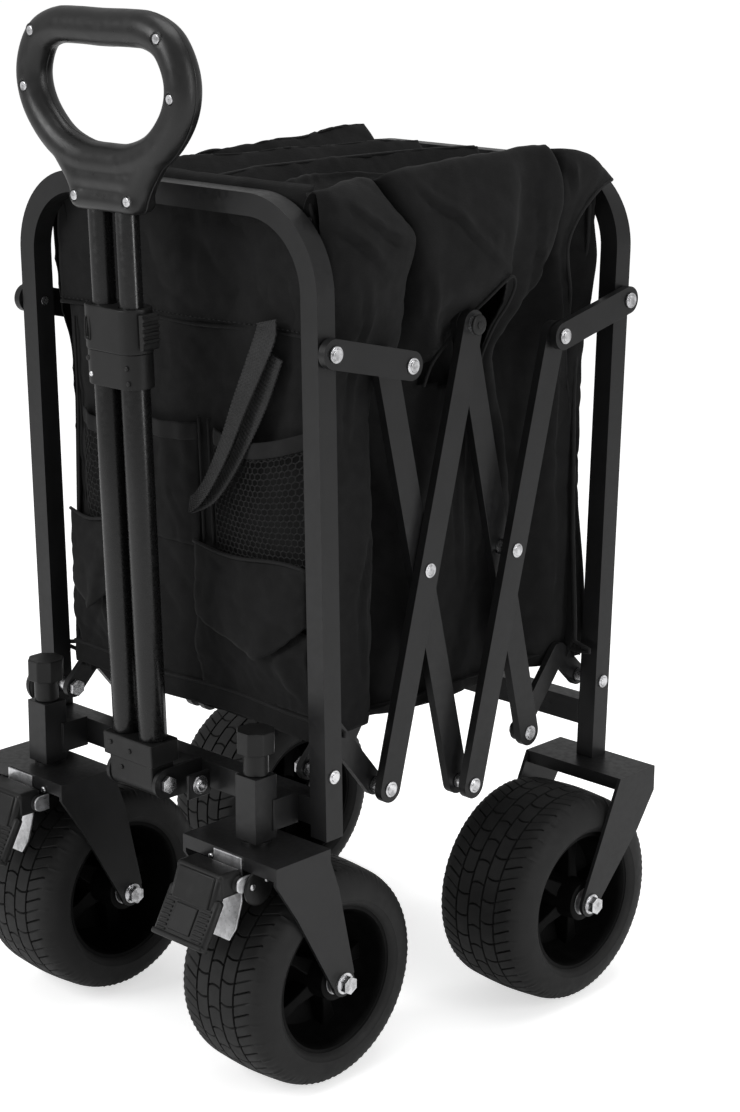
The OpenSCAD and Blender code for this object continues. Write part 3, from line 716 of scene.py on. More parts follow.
def grip_shells():
    """The grip, split into its front and back shells, with the front one bored for the screws."""
    grip = make_grip()
    out = Vector((0, math.cos(HANDLE_LEAN), math.sin(HANDLE_LEAN)))
    front = cut_by_plane(grip, "grip_front_shell", P(*H(0, -0.2, 0)), out)
    back = cut_by_plane(grip, "grip_back_shell", P(*H(0, 0.2, 0)), -out)
    bpy.data.objects.remove(grip)
    bored(front, [disc(f"hole_{k}", H(x, -12.6, z), -out, 5.2, 20, 0.0) for k, (x, z) in enumerate(SCREWS)])
    finish_piece(front, "handle_upper", grip_plastic, "grip_front")
    finish_piece(back, "handle_upper", grip_plastic, "grip_back")


grip_shells()

# ---- bag ---------------------------------------------------------------------


def resampled(points, count):
    """A smooth line through the points, as count points an equal way apart."""
    line = smooth_line(points, 12)
    way = np.concatenate([[0], np.cumsum(np.linalg.norm(np.diff(line, axis=0), axis=1))])
    at = np.linspace(0, way[-1], count)
    return np.column_stack([np.interp(at, way, line[:, k]) for k in range(3)])


def loft(name, lines, rows, steps):
    """A sheet through fold lines that run from top to bottom, with steps columns between two lines."""
    down = np.array([resampled(line, rows) for line in lines])
    across = np.array([smooth_line(down[:, i], steps) for i in range(rows)])
    return mesh_from(name, across.reshape(-1, 3), grid_faces(rows, across.shape[1]))


def crumpled(obj, depth, size, crease=0.0, seed=0.0):
    """Moves a cloth's points along their normals: soft swells, and ridges where it has been folded."""
    obj.data.update()
    normals = [v.normal.copy() for v in obj.data.vertices]
    for v, n in zip(obj.data.vertices, normals):
        at = v.co / (size * MM) + Vector((seed, seed * 0.7, -seed))
        swell = noise.noise(at)
        fine = noise.noise(at * 2.7)
        ridge = (1 - abs(noise.noise(at * 1.3 + Vector((3, 1, 7))))) ** 6
        v.co += n * MM * (depth * (swell + 0.35 * fine) + crease * (ridge - 0.3))
    return obj


def area_of(obj):
    return sum(p.area for p in obj.data.polygons)


def mirrored(line, side):
    return [(side * x, y, z) for x, y, z in line]


cloth = woven("bag_fabric", 0.0055, 0.0100, 1.1)
hem_cloth = woven("binding_fabric", 0.009, 0.015, 0.9, 0.7)
webbing = woven("webbing", 0.010, 0.022, 1.0, 0.6, 0.3, 0.05, 0.3)
net_thread = woven("net_thread", 0.006, 0.011, 0.6, 0.6, 0.25)


def cloth_piece(obj, body, flat, held, rests_on, material=cloth, area=None, with_pieces=()):
    """A sheet that rides on one body."""
    finish_piece(obj, body, material)
    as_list(rests_on)
    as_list(with_pieces)
    return obj


def side_fold_lines(side):
    """Fold lines of a side wall from its rim down, front to rear, as x, y, z; the right wall's x is positive.
    The skirt flares over the bars down to the pins and then falls inside them."""
    lines = [
        # front edge, behind the leg
        [(164, -180, 776), (168, -180, 752), (168, -179, 715), (166, -178, 680), (161, -176, 640),
         (152, -174, 600), (150, -173, 500), (148, -172, 400), (146, -171, 308)],
        [(170, -170, 778), (177, -169, 756), (178, -168, 715), (175, -167, 680), (168, -166, 640),
         (156, -165, 600), (154, -164, 500), (152, -163, 400), (149, -162, 306)],
        # crest of the front bulge
        [(160, -140, 781), (176, -138, 766), (185, -132, 735), (184, -128, 700), (176, -126, 668),
         (160, -126, 636), (153, -128, 600), (153, -128, 500), (151, -128, 400), (148, -128, 305)],
        # its rear edge
        [(150, -102, 780), (166, -96, 762), (174, -76, 736), (172, -74, 716), (166, -76, 694),
         (159, -72, 664), (153, -74, 636), (149, -100, 598), (149, -98, 500), (147, -96, 400),
         (145, -96, 304)],
        # front valley
        [(146, -97, 775), (154, -88, 752), (146, -74, 732), (136, -72, 710), (126, -70, 690), (120, -64, 660),
         (116, -66, 630), (118, -86, 598), (120, -84, 500), (124, -84, 400), (130, -84, 304)],
        # front edge of the middle bulge
        [(164, -92, 784), (170, -84, 766), (176, -72, 744), (178, -66, 715), (174, -60, 686), (165, -50, 660),
         (156, -32, 636), (147, -18, 606), (139, -50, 500), (140, -52, 400), (138, -54, 303)],
        [(166, -60, 788), (174, -52, 772), (181, -40, 744), (184, -32, 712), (180, -28, 684), (166, -22, 662),
         (154, -14, 640), (149, -6, 606), (146, -20, 500), (146, -22, 400), (142, -24, 303)],
        [(168, -8, 791), (176, -2, 776), (183, 2, 746), (186, 8, 714), (183, 14, 690), (170, 14, 664),
         (156, 10, 642), (150, 8, 606), (148, 6, 500), (147, 4, 400), (144, 2, 303)],
        [(169, 42, 793), (177, 44, 776), (182, 42, 746), (183, 40, 714), (181, 42, 692), (172, 40, 664),
         (160, 36, 640), (150, 30, 606), (146, 34, 500), (146, 32, 400), (142, 28, 303)],
        # soft hollow from the rim to the notch
        [(166, 76, 794), (171, 74, 776), (173, 68, 746), (175, 56, 714), (173, 52, 692), (166, 50, 664),
         (156, 46, 640), (148, 42, 606), (140, 58, 500), (140, 56, 400), (138, 52, 303)],
        # sharp ridge in front of the rear valley
        [(170, 102, 794), (178, 108, 776), (180, 112, 746), (179, 102, 712), (176, 88, 686), (170, 70, 660),
         (160, 60, 636), (151, 54, 606), (148, 82, 500), (147, 80, 400), (144, 78, 303)],
        [(160, 112, 789), (158, 116, 770), (144, 118, 742), (130, 108, 706), (122, 102, 684), (118, 96, 650),
         (118, 92, 606), (124, 104, 500), (128, 104, 400), (130, 104, 303)],
        # rear edge of the rear valley
        [(172, 124, 790), (178, 122, 772), (174, 112, 744), (168, 112, 712), (163, 118, 694), (158, 130, 660),
         (154, 138, 624), (150, 140, 560), (150, 138, 500), (150, 140, 400), (148, 138, 304)],
    ]
    return [mirrored(line, side) for line in lines]


def opening_edge(side):
    """Edge of the side wall at the round opening beside the rear leg, then down to the bottom corner."""
    return mirrored([(176, 186, 760), (178, 164, 752), (177, 140, 732), (175, 128, 710), (172, 131, 690),
                     (166, 143, 664), (158, 152, 640), (150, 158, 600), (150, 168, 540), (152, 178, 460),
                     (156, 186, 380), (156, 188, 320), (154, 186, 306)], side)


def rim_edge(side):
    return mirrored([(174, 160, 781), (179, 155, 768), (178, 136, 742), (173, 123, 712), (169, 126, 692),
                     (162, 138, 662), (156, 146, 632), (150, 150, 580), (150, 152, 500), (151, 158, 400),
                     (150, 160, 305)], side)


def notch(side):
    """Bound notch in the skirt over the centre pin, from the front foot over its top to the rear foot."""
    return mirrored([(150, -34, 597), (153, -26, 617), (160, -8, 640), (167, 4, 655), (177, 19, 672),
                     (183, 33, 685), (183, 43, 688), (182, 47, 679), (176, 45, 663), (164, 42, 643),
                     (152, 40, 616), (148, 38, 592)], side)


def inside(y, z, outline):
    """Whether a point of the side plane lies inside a closed outline of (y, z)."""
    found = False
    for (ya, za), (yb, zb) in zip(outline, outline[1:] + outline[:1]):
        if (za > z) != (zb > z) and y < (yb - ya) * (z - za) / (zb - za) + ya:
            found = not found
    return found


def cut_notch(obj, outline):
    """Removes the faces inside the notch and draws its ragged edge onto the outline."""
    line = resampled(outline, 90)
    closed = [(y, z) for _, y, z in line]
    made = bmesh.new()
    made.from_mesh(obj.data)
    gone = [f for f in made.faces
            if inside(f.calc_center_median().y / MM - MID, f.calc_center_median().z / MM, closed)
            and abs(f.calc_center_median().x) / MM > 134]
    bmesh.ops.delete(made, geom=gone, context="FACES")
    for v in made.verts:
        y, z = v.co.y / MM - MID, v.co.z / MM
        if not v.is_boundary or z > 700 or z < 594:
            continue
        k = int(np.argmin((line[:, 1] - y) ** 2 + (line[:, 2] - z) ** 2))
        if math.hypot(line[k, 1] - y, line[k, 2] - z) < 8:
            v.co.y, v.co.z = (line[k, 1] + MID) * MM, line[k, 2] * MM
    made.to_mesh(obj.data)
    made.free()


CREASE_REACH = 14


def creased(obj, side, lines):
    """Presses sharp folds into a side wall: a raised lip beside each line and a groove along it."""
    paths = [np.array(line, float) for line in lines]
    for v in obj.data.vertices:
        y, z = v.co.y / MM - MID, v.co.z / MM
        for path in paths:
            if not all(path[:, n].min() - CREASE_REACH < at < path[:, n].max() + CREASE_REACH
                       for n, at in enumerate((y, z))):
                continue
            a, b = path[:-1], path[1:]
            d = b - a
            t = np.clip(((y - a[:, 0]) * d[:, 0] + (z - a[:, 1]) * d[:, 1]) / (d ** 2).sum(axis=1), 0, 1)
            near = a + d * t[:, None]
            gap = np.hypot(y - near[:, 0], z - near[:, 1])
            k = int(gap.argmin())
            way = (d[k, 0] * (z - a[k, 1]) - d[k, 1] * (y - a[k, 0])) / math.hypot(*d[k])
            whole = (k + t[k]) / len(d)
            fade = math.sin(math.pi * min(1, max(0, 0.12 + 0.82 * whole)))
            lip = 3.4 * math.exp(-((way - 2.2) / 3.6) ** 2) - 2.8 * math.exp(-((way + 3.0) / 2.6) ** 2)
            v.co.x += side * lip * fade * math.exp(-(max(0, gap[k] - abs(way)) / 3) ** 2) * MM
    return obj


CREASES = (((-173, 751), (-153, 740), (-136, 725), (-112, 703)), ((-156, 767), (-108, 735), (-80, 729)),
           ((-69, 773), (-51, 758), (-27, 746), (-3, 721), (42, 690)), ((128, 780), (124, 770), (130, 752)),
           ((-140, 700), (-128, 640), (-133, 560)), ((-60, 700), (-40, 650), (-20, 600)),
           ((88, 760), (84, 700), (70, 640), (60, 590)), ((-95, 480), (-110, 420), (-104, 350)),
           ((20, 560), (14, 480), (22, 400)), ((120, 620), (112, 520), (118, 430)))


def tucked(line, side):
    """The far wall's rim is folded down and in; the near one stands up."""
    if side == RIGHT:
        return line
    return [(x, y, z if z < 735 else 735 + (z - 735) * 0.35) for x, y, z in line]


def side_wall(side, name):
    """Pleated outer wall with its skirt, notch, piped opening and rim rolled inwards."""
    lines = side_fold_lines(side) + [rim_edge(side), opening_edge(side)]
    rolled = []
    for line in lines:
        line = tucked(line, side)
        x, y, z = line[0]
        inward = [(x - side * 20, y, z - 46), (x - side * 15, y, z - 16), (x - side * 8, y, z - 1)]
        rolled.append(inward + line)
    obj = loft(name, rolled, 132, 10)
    crumpled(obj, 1.1, 34, 1.3, seed=2.0 + side)
    creased(obj, side, CREASES)
    cut_notch(obj, notch(side))
    return obj


def tree_of(obj):
    return BVHTree.FromObject(obj, bpy.context.evaluated_depsgraph_get())


def first_hit(tree, x, z):
    """Where a line from far in front of the wagon, at x and z in mm, first meets a surface."""
    return tree.ray_cast(P(x, -420, z), Vector((0, 1, 0)))[0]


BAG_START, BAG_END = P(0, -160, 500), P(0, 160, 500)


def blended(obj):
    """Bakes the placement of cloth or trim into its mesh; it doesn't follow the front or the rear frame."""
    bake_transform(obj)
    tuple(BAG_START)
    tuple(BAG_END)
    return obj


def dressed(obj, material):
    clad(obj, material)
    return blended(obj)


for side, label in ((LEFT, "left"), (RIGHT, "right")):
    wall = side_wall(side, f"side_wall_{label}")
    surface = tree_of(wall)
    trims = []
    for k, (edge, radius) in enumerate(((notch(side), 1.5), (opening_edge(side), 1.8))):
        trims.append(tube(f"side_piping_{label}_{k}", resampled(tucked(edge, side), 120), radius, 8))
    solid(wall, 1.2)
    dressed(wall, cloth)
    for trim in trims:
        dressed(trim, hem_cloth)
    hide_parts("bag_front" if side == LEFT else "bag_rear")


def inner_liner(side):
    """Unpadded wall behind the skirt, which shows in the notch, the valleys and the rear opening."""
    lines = []
    for k, (y, out, low) in enumerate(((-172, 148, 142), (-150, 140, 140), (-122, 128, 132), (-96, 112, 122),
                                       (-70, 108, 118), (-44, 124, 134), (-16, 134, 140), (8, 128, 136),
                                       (30, 132, 138), (54, 120, 130), (78, 104, 118), (104, 108, 120),
                                       (126, 130, 134), (150, 142, 146), (168, 152, 148))):
        wave = 5 * math.sin(2.1 * k)
        lines.append([(out - 4, y, 748), (out, y + wave * 0.3, 700), (out + 2, y + wave, 620),
                      (low, y + wave * 0.5, 500), (low, y, 400), (low - 2, y, 305)])
    lines.append([(166, 176, 750), (162, 180, 722), (168, 178, 690), (163, 178, 655), (152, 180, 600),
                  (150, 182, 500), (150, 184, 400), (148, 184, 305)])
    label = "right" if side == RIGHT else "left"
    obj = loft(f"liner_{label}", [mirrored(line, side) for line in lines], 90, 7)
    return solid(crumpled(obj, 1.6, 30, 1.6, seed=11.0 + side), 1.2)


for side, label in ((LEFT, "left"), (RIGHT, "right")):
    liner = dressed(inner_liner(side), cloth)


def panel_x(z):
    """Half width of an end panel at a height: narrow at the middle, wider over the frame's foot."""
    return float(np.interp(z, (308, 330, 360, 430, 560, 600, 640, 700, 740, 782),
                           (158, 166, 164, 158, 152, 152, 152, 160, 160, 150)))


def end_panel_y(end, x, z):
    """An end panel's surface: it follows the frame's lean and sags between the legs."""
    lean = (z - 300) * math.tan(math.radians(1.5))
    swell = 3.5 * math.sin(math.pi * min(1, max(0, (z - 310) / 460))) * math.cos(x / 115)
    return end * (169 + lean * 0.9 - swell * 0.6)


def panel_grid(name, corners_x, heights, depth, columns, rows, crumple=(1.0, 34, 1.0), seed=0.0):
    """A sheet on an end panel: x between two edges that may depend on height, and its depth by a function."""
    points = []
    for v in np.linspace(0, 1, rows):
        for u in np.linspace(0, 1, columns):
            top, bottom = heights(u)
            z = top + (bottom - top) * v
            x0, x1 = corners_x(z)
            x = x0 + (x1 - x0) * u
            points.append((x, depth(x, z, u, v), z))
    obj = mesh_from(name, points, grid_faces(rows, columns))
    return crumpled(obj, *crumple, seed=seed)


def main_panel(end, name):
    def depth(x, z, u, v):
        edge = 5 * max(0, abs(u - 0.5) - 0.44) / 0.06
        roll = 7 * max(0.0, (z - 768) / 12) ** 2 * (end == FRONT)
        return end_panel_y(end, x, z) - end * (edge + roll)

    top = 781 if end == FRONT else 766
    return panel_grid(name, lambda z: (-panel_x(z), panel_x(z)), lambda u: (top, 310), depth, 70, 110,
                      (2.2, 60, 1.6), seed=4.0 * end)


FLAP_HALF = 161


def top_flap(end, name):
    def depth(x, z, u, v):
        billow = 6.0 * math.sin(math.pi * v) * (0.7 + 0.3 * math.sin(x / 19.0))
        return end * (180.5 - 4.0 * v + billow * 0.25 + 2.2 * math.sin(x / 26 + 0.8) * v)

    def hem(u):
        return 757, 652 + 6 * u + 1.5 * math.sin(u * 9)

    return panel_grid(name, lambda z: (-FLAP_HALF, FLAP_HALF), hem, depth, 80, 40, (2.4, 48, 1.8),
                      seed=9.0 * end)


def strip_on(name, line, width, lift, end, thick=1.0, drop=(0, 0, -1)):
    """A flat binding that hangs down from a line by its width."""
    line = np.array(line, float)
    down = np.array(drop, float)
    rows = [line + down * width * t + np.array((0, end * lift * math.sin(math.pi * (0.15 + 0.7 * t)), 0))
            for t in (0, 0.12, 0.5, 0.88, 1.0)]
    obj = mesh_from(name, np.vstack(rows), grid_faces(5, len(line)))
    return solid(obj, thick)


def stitches(name, line, end, length=3.2, gap=1.6, radius=0.42):
    """A row of thread stitches along a line of points."""
    way = np.linalg.norm(np.diff(np.array(line), axis=0), axis=1).sum()
    line = resampled(line, max(8, int(way / (length + gap))))
    parts = []
    for a, b in zip(line, line[1:]):
        d = (b - a) * length / (length + gap)
        mid = a + d / 2 + np.array((0, end * 0.35, 0))
        parts.append(tube("stitch", [a, mid, a + d], radius, 5))
    return joined(name, parts)


def on_front(obj, material=cloth):
    """A piece of the front panel: rides on the front frame and goes with the panel."""
    finish_piece(obj, "front_frame", material)
    return obj


def net(name, surface, wide, high, pitch, wire):
    """A knitted net of hexagons laid on a surface given by (u, v) from 0 to 1."""
    side = pitch / math.sqrt(3)
    points, faces = [], []
    for i in range(int(high / (1.5 * side)) + 1):
        for j in range(int(wide / pitch) + 1):
            cx, cz = (j + 0.5 * (i % 2)) * pitch, i * 1.5 * side
            ring = []
            for k in range(6):
                a = math.radians(60 * k + 30)
                u, v = (cx + side * math.cos(a)) / wide, (cz + side * math.sin(a)) / high
                ring.append(len(points))
                points.append(surface(min(1, max(0, u)), min(1, max(0, v))))
            faces.append(ring)
    obj = mesh_from(name, points, faces)
    made = bmesh.new()
    made.from_mesh(obj.data)
    bmesh.ops.remove_doubles(made, verts=made.verts, dist=0.0006)
    bmesh.ops.dissolve_degenerate(made, dist=0.0003, edges=made.edges)
    made.to_mesh(obj.data)
    made.free()
    frame_of = obj.modifiers.new("wires", "WIREFRAME")
    frame_of.thickness = wire * MM
    frame_of.use_even_offset = False
    return applied(obj)


def pouch(x0, x1, low, top, bulge, sag=0.0):
    """A pocket's surface by (u, v): sewn at its sides and foot, bulging, with its mouth standing open."""
    def surface(u, v):
        x = x0 + (x1 - x0) * u
        z = low(u) + (top(u) - sag * math.sin(math.pi * u) - low(u)) * v
        rise = 0.25 + 0.75 * math.sin(math.pi * min(1, v * 0.62 + 0.08))
        out = bulge * math.sin(math.pi * u) ** 0.7 * rise
        ripple = 1.2 * math.sin(u * 21 + v * 3) * v
        return x, end_panel_y(FRONT, x, z) - 2.5 - out - ripple, z
    return surface


def pouch_sheet(name, surface, columns=34, rows=26, seed=0.0):
    points = [surface(u, v) for v in np.linspace(1, 0, rows) for u in np.linspace(0, 1, columns)]
    obj = crumpled(mesh_from(name, points, grid_faces(rows, columns)), 0.8, 24, 1.4, seed=seed)
    return solid(obj, 1.1)


def flat_size(obj, wide, high):
    """The cut of a small sheet: its sides, and its area where it isn't a rectangle."""
    area = area_of(obj) / 2
    return dict(flat=(wide * MM, high * MM), area=min(wide * high * MM * MM, area / 0.97))


def front_pockets():
    """Two net pockets with bound mouths, a cloth pocket between them and two gusseted pockets below."""
    right_net = pouch(37, 153, lambda u: 456 + 5 * u, lambda u: 551 + 14 * u, 13, 9)
    left_net = pouch(-134, -74, lambda u: 450, lambda u: 545 - 6 * u, 9, 4)
    for label, surface, wide, high in (("right", right_net, 116, 100), ("left", left_net, 60, 92)):
        on_front(net(f"net_pocket_{label}", surface, wide, high, 6.4, 1.15), net_thread)
        mouth = [surface(u, 1.0) for u in np.linspace(0, 1, 30)]
        on_front(strip_on(f"net_binding_{label}", mouth, -14, 1.6, FRONT), hem_cloth)
        ends = [surface(u, 0.985) for u in np.linspace(0.02, 0.98, 20)]
        on_front(stitches(f"net_binding_stitches_{label}", ends, FRONT), hem_cloth)
    centre = pouch(-72, 16, lambda u: 455, lambda u: 566, 6, 3)
    sheet = pouch_sheet("centre_pocket", centre, seed=21)
    cloth_piece(sheet, "front_frame", held="stretched", rests_on=["front_frame"], **flat_size(sheet, 90, 112))
    mouth = [centre(u, 1.0) for u in np.linspace(0, 1, 24)]
    on_front(strip_on("centre_binding", mouth, 15, 1.4, FRONT), hem_cloth)
    thread = [centre(u, 0.86) for u in np.linspace(0.02, 0.98, 20)]
    on_front(stitches("centre_binding_stitches", thread, FRONT), hem_cloth)
    for k, x in enumerate((18.5, 30.5)):
        side = [(x + 3 * (564 - z) / 110, end_panel_y(FRONT, x, z) - 3.2, z)
                for z in np.linspace(572, 460, 20)]
        on_front(tube(f"pocket_seam_{k}", side, 1.5, 6), hem_cloth)
    for k, (x0, x1) in enumerate(((14, 154), (-152, -74))):
        lower_pocket(k, x0, x1)


def lower_pocket(k, x0, x1):
    """Gusseted pocket: a flap that droops to a point over a folded foot."""
    tip = 0.66 if k == 0 else 0.5

    def foot(u):
        return 396 - 20 * (1 - abs(u - tip) / max(tip, 1 - tip)) + (26 * max(0, (u - tip) / (1 - tip)) ** 1.4)

    def flap_depth(u, v):
        fold = math.exp(-((u - tip - 0.05 * (1 - v)) / 0.10) ** 2)
        return 6 + 11 * v * math.sin(math.pi * min(1, max(0, u))) ** 0.6 + 7 * fold * v * v

    points = []
    for v in np.linspace(0, 1, 30):
        for u in np.linspace(0, 1, 40):
            x = x0 + (x1 - x0) * u
            top = 459 + 3 * math.sin(math.pi * 2 * u + 2.6)
            z = top + (foot(u) - top) * v
            points.append((x, end_panel_y(FRONT, x, z) - 3 - flap_depth(u, v), z))
    for v in np.linspace(0.15, 1, 6):
        for u in np.linspace(0, 1, 40):
            x = x0 + (x1 - x0) * u
            z = foot(u) + 9 * v
            back = flap_depth(u, 1) * (1 - v * 0.8)
            points.append((x, end_panel_y(FRONT, x, z) - 3 - back, z))
    flap = mesh_from(f"lower_pocket_{k}", points, grid_faces(36, 40))
    flap = solid(crumpled(flap, 0.9, 26, 1.2, seed=31 + k), 1.1)
    cloth_piece(flap, "front_frame", held="gathered", rests_on=["front_frame"],
                **flat_size(flap, abs(x1 - x0), 104))
    gusset = []
    for v in np.linspace(0, 1, 22):
        for u in np.linspace(0, 1, 40):
            x = x0 + (x1 - x0) * u
            z = 404 - 74 * v
            crease = (5 * abs(math.sin(math.pi * (1.5 * u + 0.8 * v)))
                      + 6 * math.exp(-((u - tip - 0.3 * v) / 0.09) ** 2))
            out = (crease + 4) * math.sin(math.pi * min(1, v + 0.12))
            gusset.append((x, end_panel_y(FRONT, x, z) - 2 - out, z))
    foot_sheet = mesh_from(f"lower_gusset_{k}", gusset, grid_faces(22, 40))
    foot_sheet = solid(crumpled(foot_sheet, 1.0, 22, 1.6, seed=41 + k), 1.1)
    cloth_piece(foot_sheet, "front_frame", held="folded", rests_on=["front_frame"],
                **flat_size(foot_sheet, abs(x1 - x0), 80))
    hem = [(x0 + (x1 - x0) * u, end_panel_y(FRONT, x0 + (x1 - x0) * u, 459) - 9.5 - 2 * math.sin(math.pi * u),
            460 + 3 * math.sin(math.pi * 2 * u + 2.6)) for u in np.linspace(0, 1, 26)]
    on_front(tube(f"lower_pocket_hem_{k}", hem, 1.6, 7), hem_cloth)


def strap():
    """Two legs of webbing that hang from the flap and end at the same place."""
    middle = resampled([(113, -186, 668), (114, -188, 657), (103, -191, 629), (88, -194, 595),
                        (74, -197, 560), (56, -199, 526), (42, -200, 508), (30, -198, 500)], 60)
    back = resampled([(120, -184, 640), (108, -186, 606), (92, -188, 572), (74, -191, 538), (56, -195, 512),
                      (34, -199, 499)], 50)
    parts = []
    for line, wide in ((resampled(middle, 420), 13), (resampled(back, 380), 11)):
        points = []
        for k, p in enumerate(line):
            t = k / (len(line) - 1)
            ahead = line[min(k + 3, len(line) - 1)] - line[max(k - 3, 0)]
            side = np.array((ahead[2], 0, -ahead[0])) / math.hypot(ahead[0], ahead[2])
            twist = 0.2 + 0.7 * t
            half = wide * (1 - 0.18 * t)
            for w in np.linspace(-1, 1, 45):
                knot = 0.55 * math.sin(w * 22) * math.sin(k * 0.78 + (1.57 if int(w * 7 + 7) % 2 else 0))
                points.append(p + side * half * w * math.cos(twist)
                              + np.array((0, half * w * math.sin(twist) * 0.5 - knot, 0)))
        parts.append(solid(mesh_from("web", points, grid_faces(len(line), 45)), 1.6))
    return joined("hanging_strap", parts)


def bag_ends():
    for end, label in ((FRONT, "front"), (REAR, "rear")):
        body = f"{label}_frame"
        panel = solid(main_panel(end, f"end_panel_{label}"), 1.3)
        flap = solid(top_flap(end, f"top_flap_{label}"), 1.2)
        edge = [(s * panel_x(z), end_panel_y(end, s * panel_x(z), z) - end * 4.5, z)
                for s, heights in ((LEFT, np.linspace(776, 318, 50)), (RIGHT, np.linspace(318, 776, 50)))
                for z in heights]
        piping = finish_piece(tube(f"panel_piping_{label}", resampled(edge, 220), 2.0, 8), body, hem_cloth)
        inner = [(s * (panel_x(z) - 9), end_panel_y(end, s * (panel_x(z) - 9), z) + end * 2.2, z)
                 for s, heights in ((LEFT, np.linspace(640, 335, 40)),) for z in heights]
        seam = finish_piece(tube(f"panel_seam_{label}", inner, 1.3, 6), body, hem_cloth)
        hem = [(x, end * (179.5 + 2.2 * math.sin(x / 26 + 0.8) * 0.93),
                656 + 6 * (x + FLAP_HALF) / (2 * FLAP_HALF))
               for x in np.linspace(-158, 158, 80)]
        thread = finish_piece(stitches(f"flap_stitches_{label}", hem, end, 3.4, 2.2, 0.5), body, hem_cloth)
        edge_roll = [(x, end * (177.5 + 2.2 * math.sin(x / 26 + 0.8)),
                      651.5 + 6 * (x + FLAP_HALF) / (2 * FLAP_HALF)
                      + 1.5 * math.sin((x + FLAP_HALF) / (2 * FLAP_HALF) * 9))
                     for x in np.linspace(-160, 160, 60)]
        roll = finish_piece(tube(f"flap_hem_{label}", edge_roll, 1.7, 7), body, cloth)
        line = [(x, end_panel_y(end, x, 325) + end * 1.5, 328 + 2 * math.sin(x / 31))
                for x in np.linspace(-160, 160, 60)]
        band = finish_piece(strip_on(f"bottom_band_{label}", line, 19, 2.0, end), body, cloth)
        line = [(x, end_panel_y(end, x, 325) + end * 2.4, 328.5 + 2 * math.sin(x / 31))
                for x in np.linspace(-162, 162, 60)]
        low_piping = finish_piece(tube(f"bottom_piping_{label}", line, 1.9, 7), body, hem_cloth)
        finish_piece(panel, body, cloth)
        finish_piece(flap, body, cloth)


def floor_sheet():
    """Floor of the bag, which sags in two folds."""
    points = []
    for v in np.linspace(0, 1, 60):
        y = -170 + 346 * v
        for u in np.linspace(0, 1, 34):
            x = -147 + 294 * u
            sag = 7 * math.sin(math.pi * u) + 9 * abs(math.sin(2 * math.pi * v)) * math.sin(math.pi * u)
            points.append((x, y, 315 - sag))
    return solid(crumpled(mesh_from("bag_floor", points, grid_faces(60, 34)), 1.5, 40, 1.2, seed=51), 1.3)


def inner_folds():
    """Folded inside of the bag: ridges that run from end to end, with valleys between them."""
    far = ((-166, -112, -60, 0, 60, 120, 168), (-98, -92, -85, -93, -105, -115, -120),
           (762, 774, 783, 784, 785, 788, 789))
    mid = ((-166, -135, -80, -24, 70, 121, 168), (-78, -75, -69, -63, -60, -50, -49),
           (778, 781, 781, 781, 781, 781, 779))
    bar = ((-166, -101, -11, 77, 120, 168), (26, 18, 15, 16, 20, 26), (776, 779, 779, 779, 779, 778))
    near = ((-166, -134, -88, -44, 0, 94, 168), (90, 84, 70, 66, 66, 70, 76),
            (772, 776, 776, 775, 770, 764, 760))

    def at(ridge, y):
        return float(np.interp(y, ridge[0], ridge[1])), float(np.interp(y, ridge[0], ridge[2]))

    stations = np.linspace(-168, 172, 40)
    lines = [[(-150, y, 738) for y in stations], [(-134, y, 752) for y in stations]]
    for k, (a, b, deep) in enumerate(((far, mid, 26), (mid, bar, 34), (bar, near, 30))):
        crest, valley = [], []
        for y in stations:
            (xa, za), (xb, zb) = at(a, y), at(b, y)
            crest.append((xa, y, za + 0.8 * math.sin(y / 17 + k)))
            valley.append(((xa + xb) / 2 + 2, y, (za + zb) / 2 - min(deep, 6 + 0.7 * (xb - xa))))
        shoulders = [[(x + across, y, z - 2.5) for x, y, z in crest] for across in (-3, 3)]
        lines += [shoulders[0], crest, shoulders[1], valley]
    crest = [(at(near, y)[0], y, at(near, y)[1]) for y in stations]
    lines += [crest, [(x + 8, y, z - 8) for x, y, z in crest], [(112, y, 742) for y in stations],
              [(124, y, 752 + 4 * math.sin(y / 23)) for y in stations], [(140, y, 738) for y in stations],
              [(156, y, 728) for y in stations]]
    obj = loft("inner_folds", lines, 90, 5)
    edge = [(at(bar, y)[0], y, at(bar, y)[1] + 1.0) for y in np.linspace(-164, 168, 60)]
    return solid(crumpled(obj, 1.6, 42, 1.4, seed=61), 1.2), tube("fold_binding", edge, 1.5, 8)


folds, binding = inner_folds()
dressed(folds, cloth)
dressed(binding, hem_cloth)
hanging = strap()
on_front(hanging, webbing)
front_pockets()
bag_ends()
base = dressed(floor_sheet(), cloth)

# ---- pedals, caps and small hardware -------------------------------------


PAD = (-284, 220, math.radians(20))
TONGUE = (-292, 197, math.radians(29))
CENTRE_TOP_Z = 650.8


def laid(obj, y0, z0, angle):
    """Lays a piece built as (x, distance down the slope, outward) on a slope through (y0, z0)."""
    s, c = math.sin(angle), math.cos(angle)
    for v in obj.data.vertices:
        x, down, out = v.co.x / MM, v.co.y / MM - MID, v.co.z / MM
        v.co = P(x, y0 - down * s - out * c, z0 - down * c + out * s)
    return obj


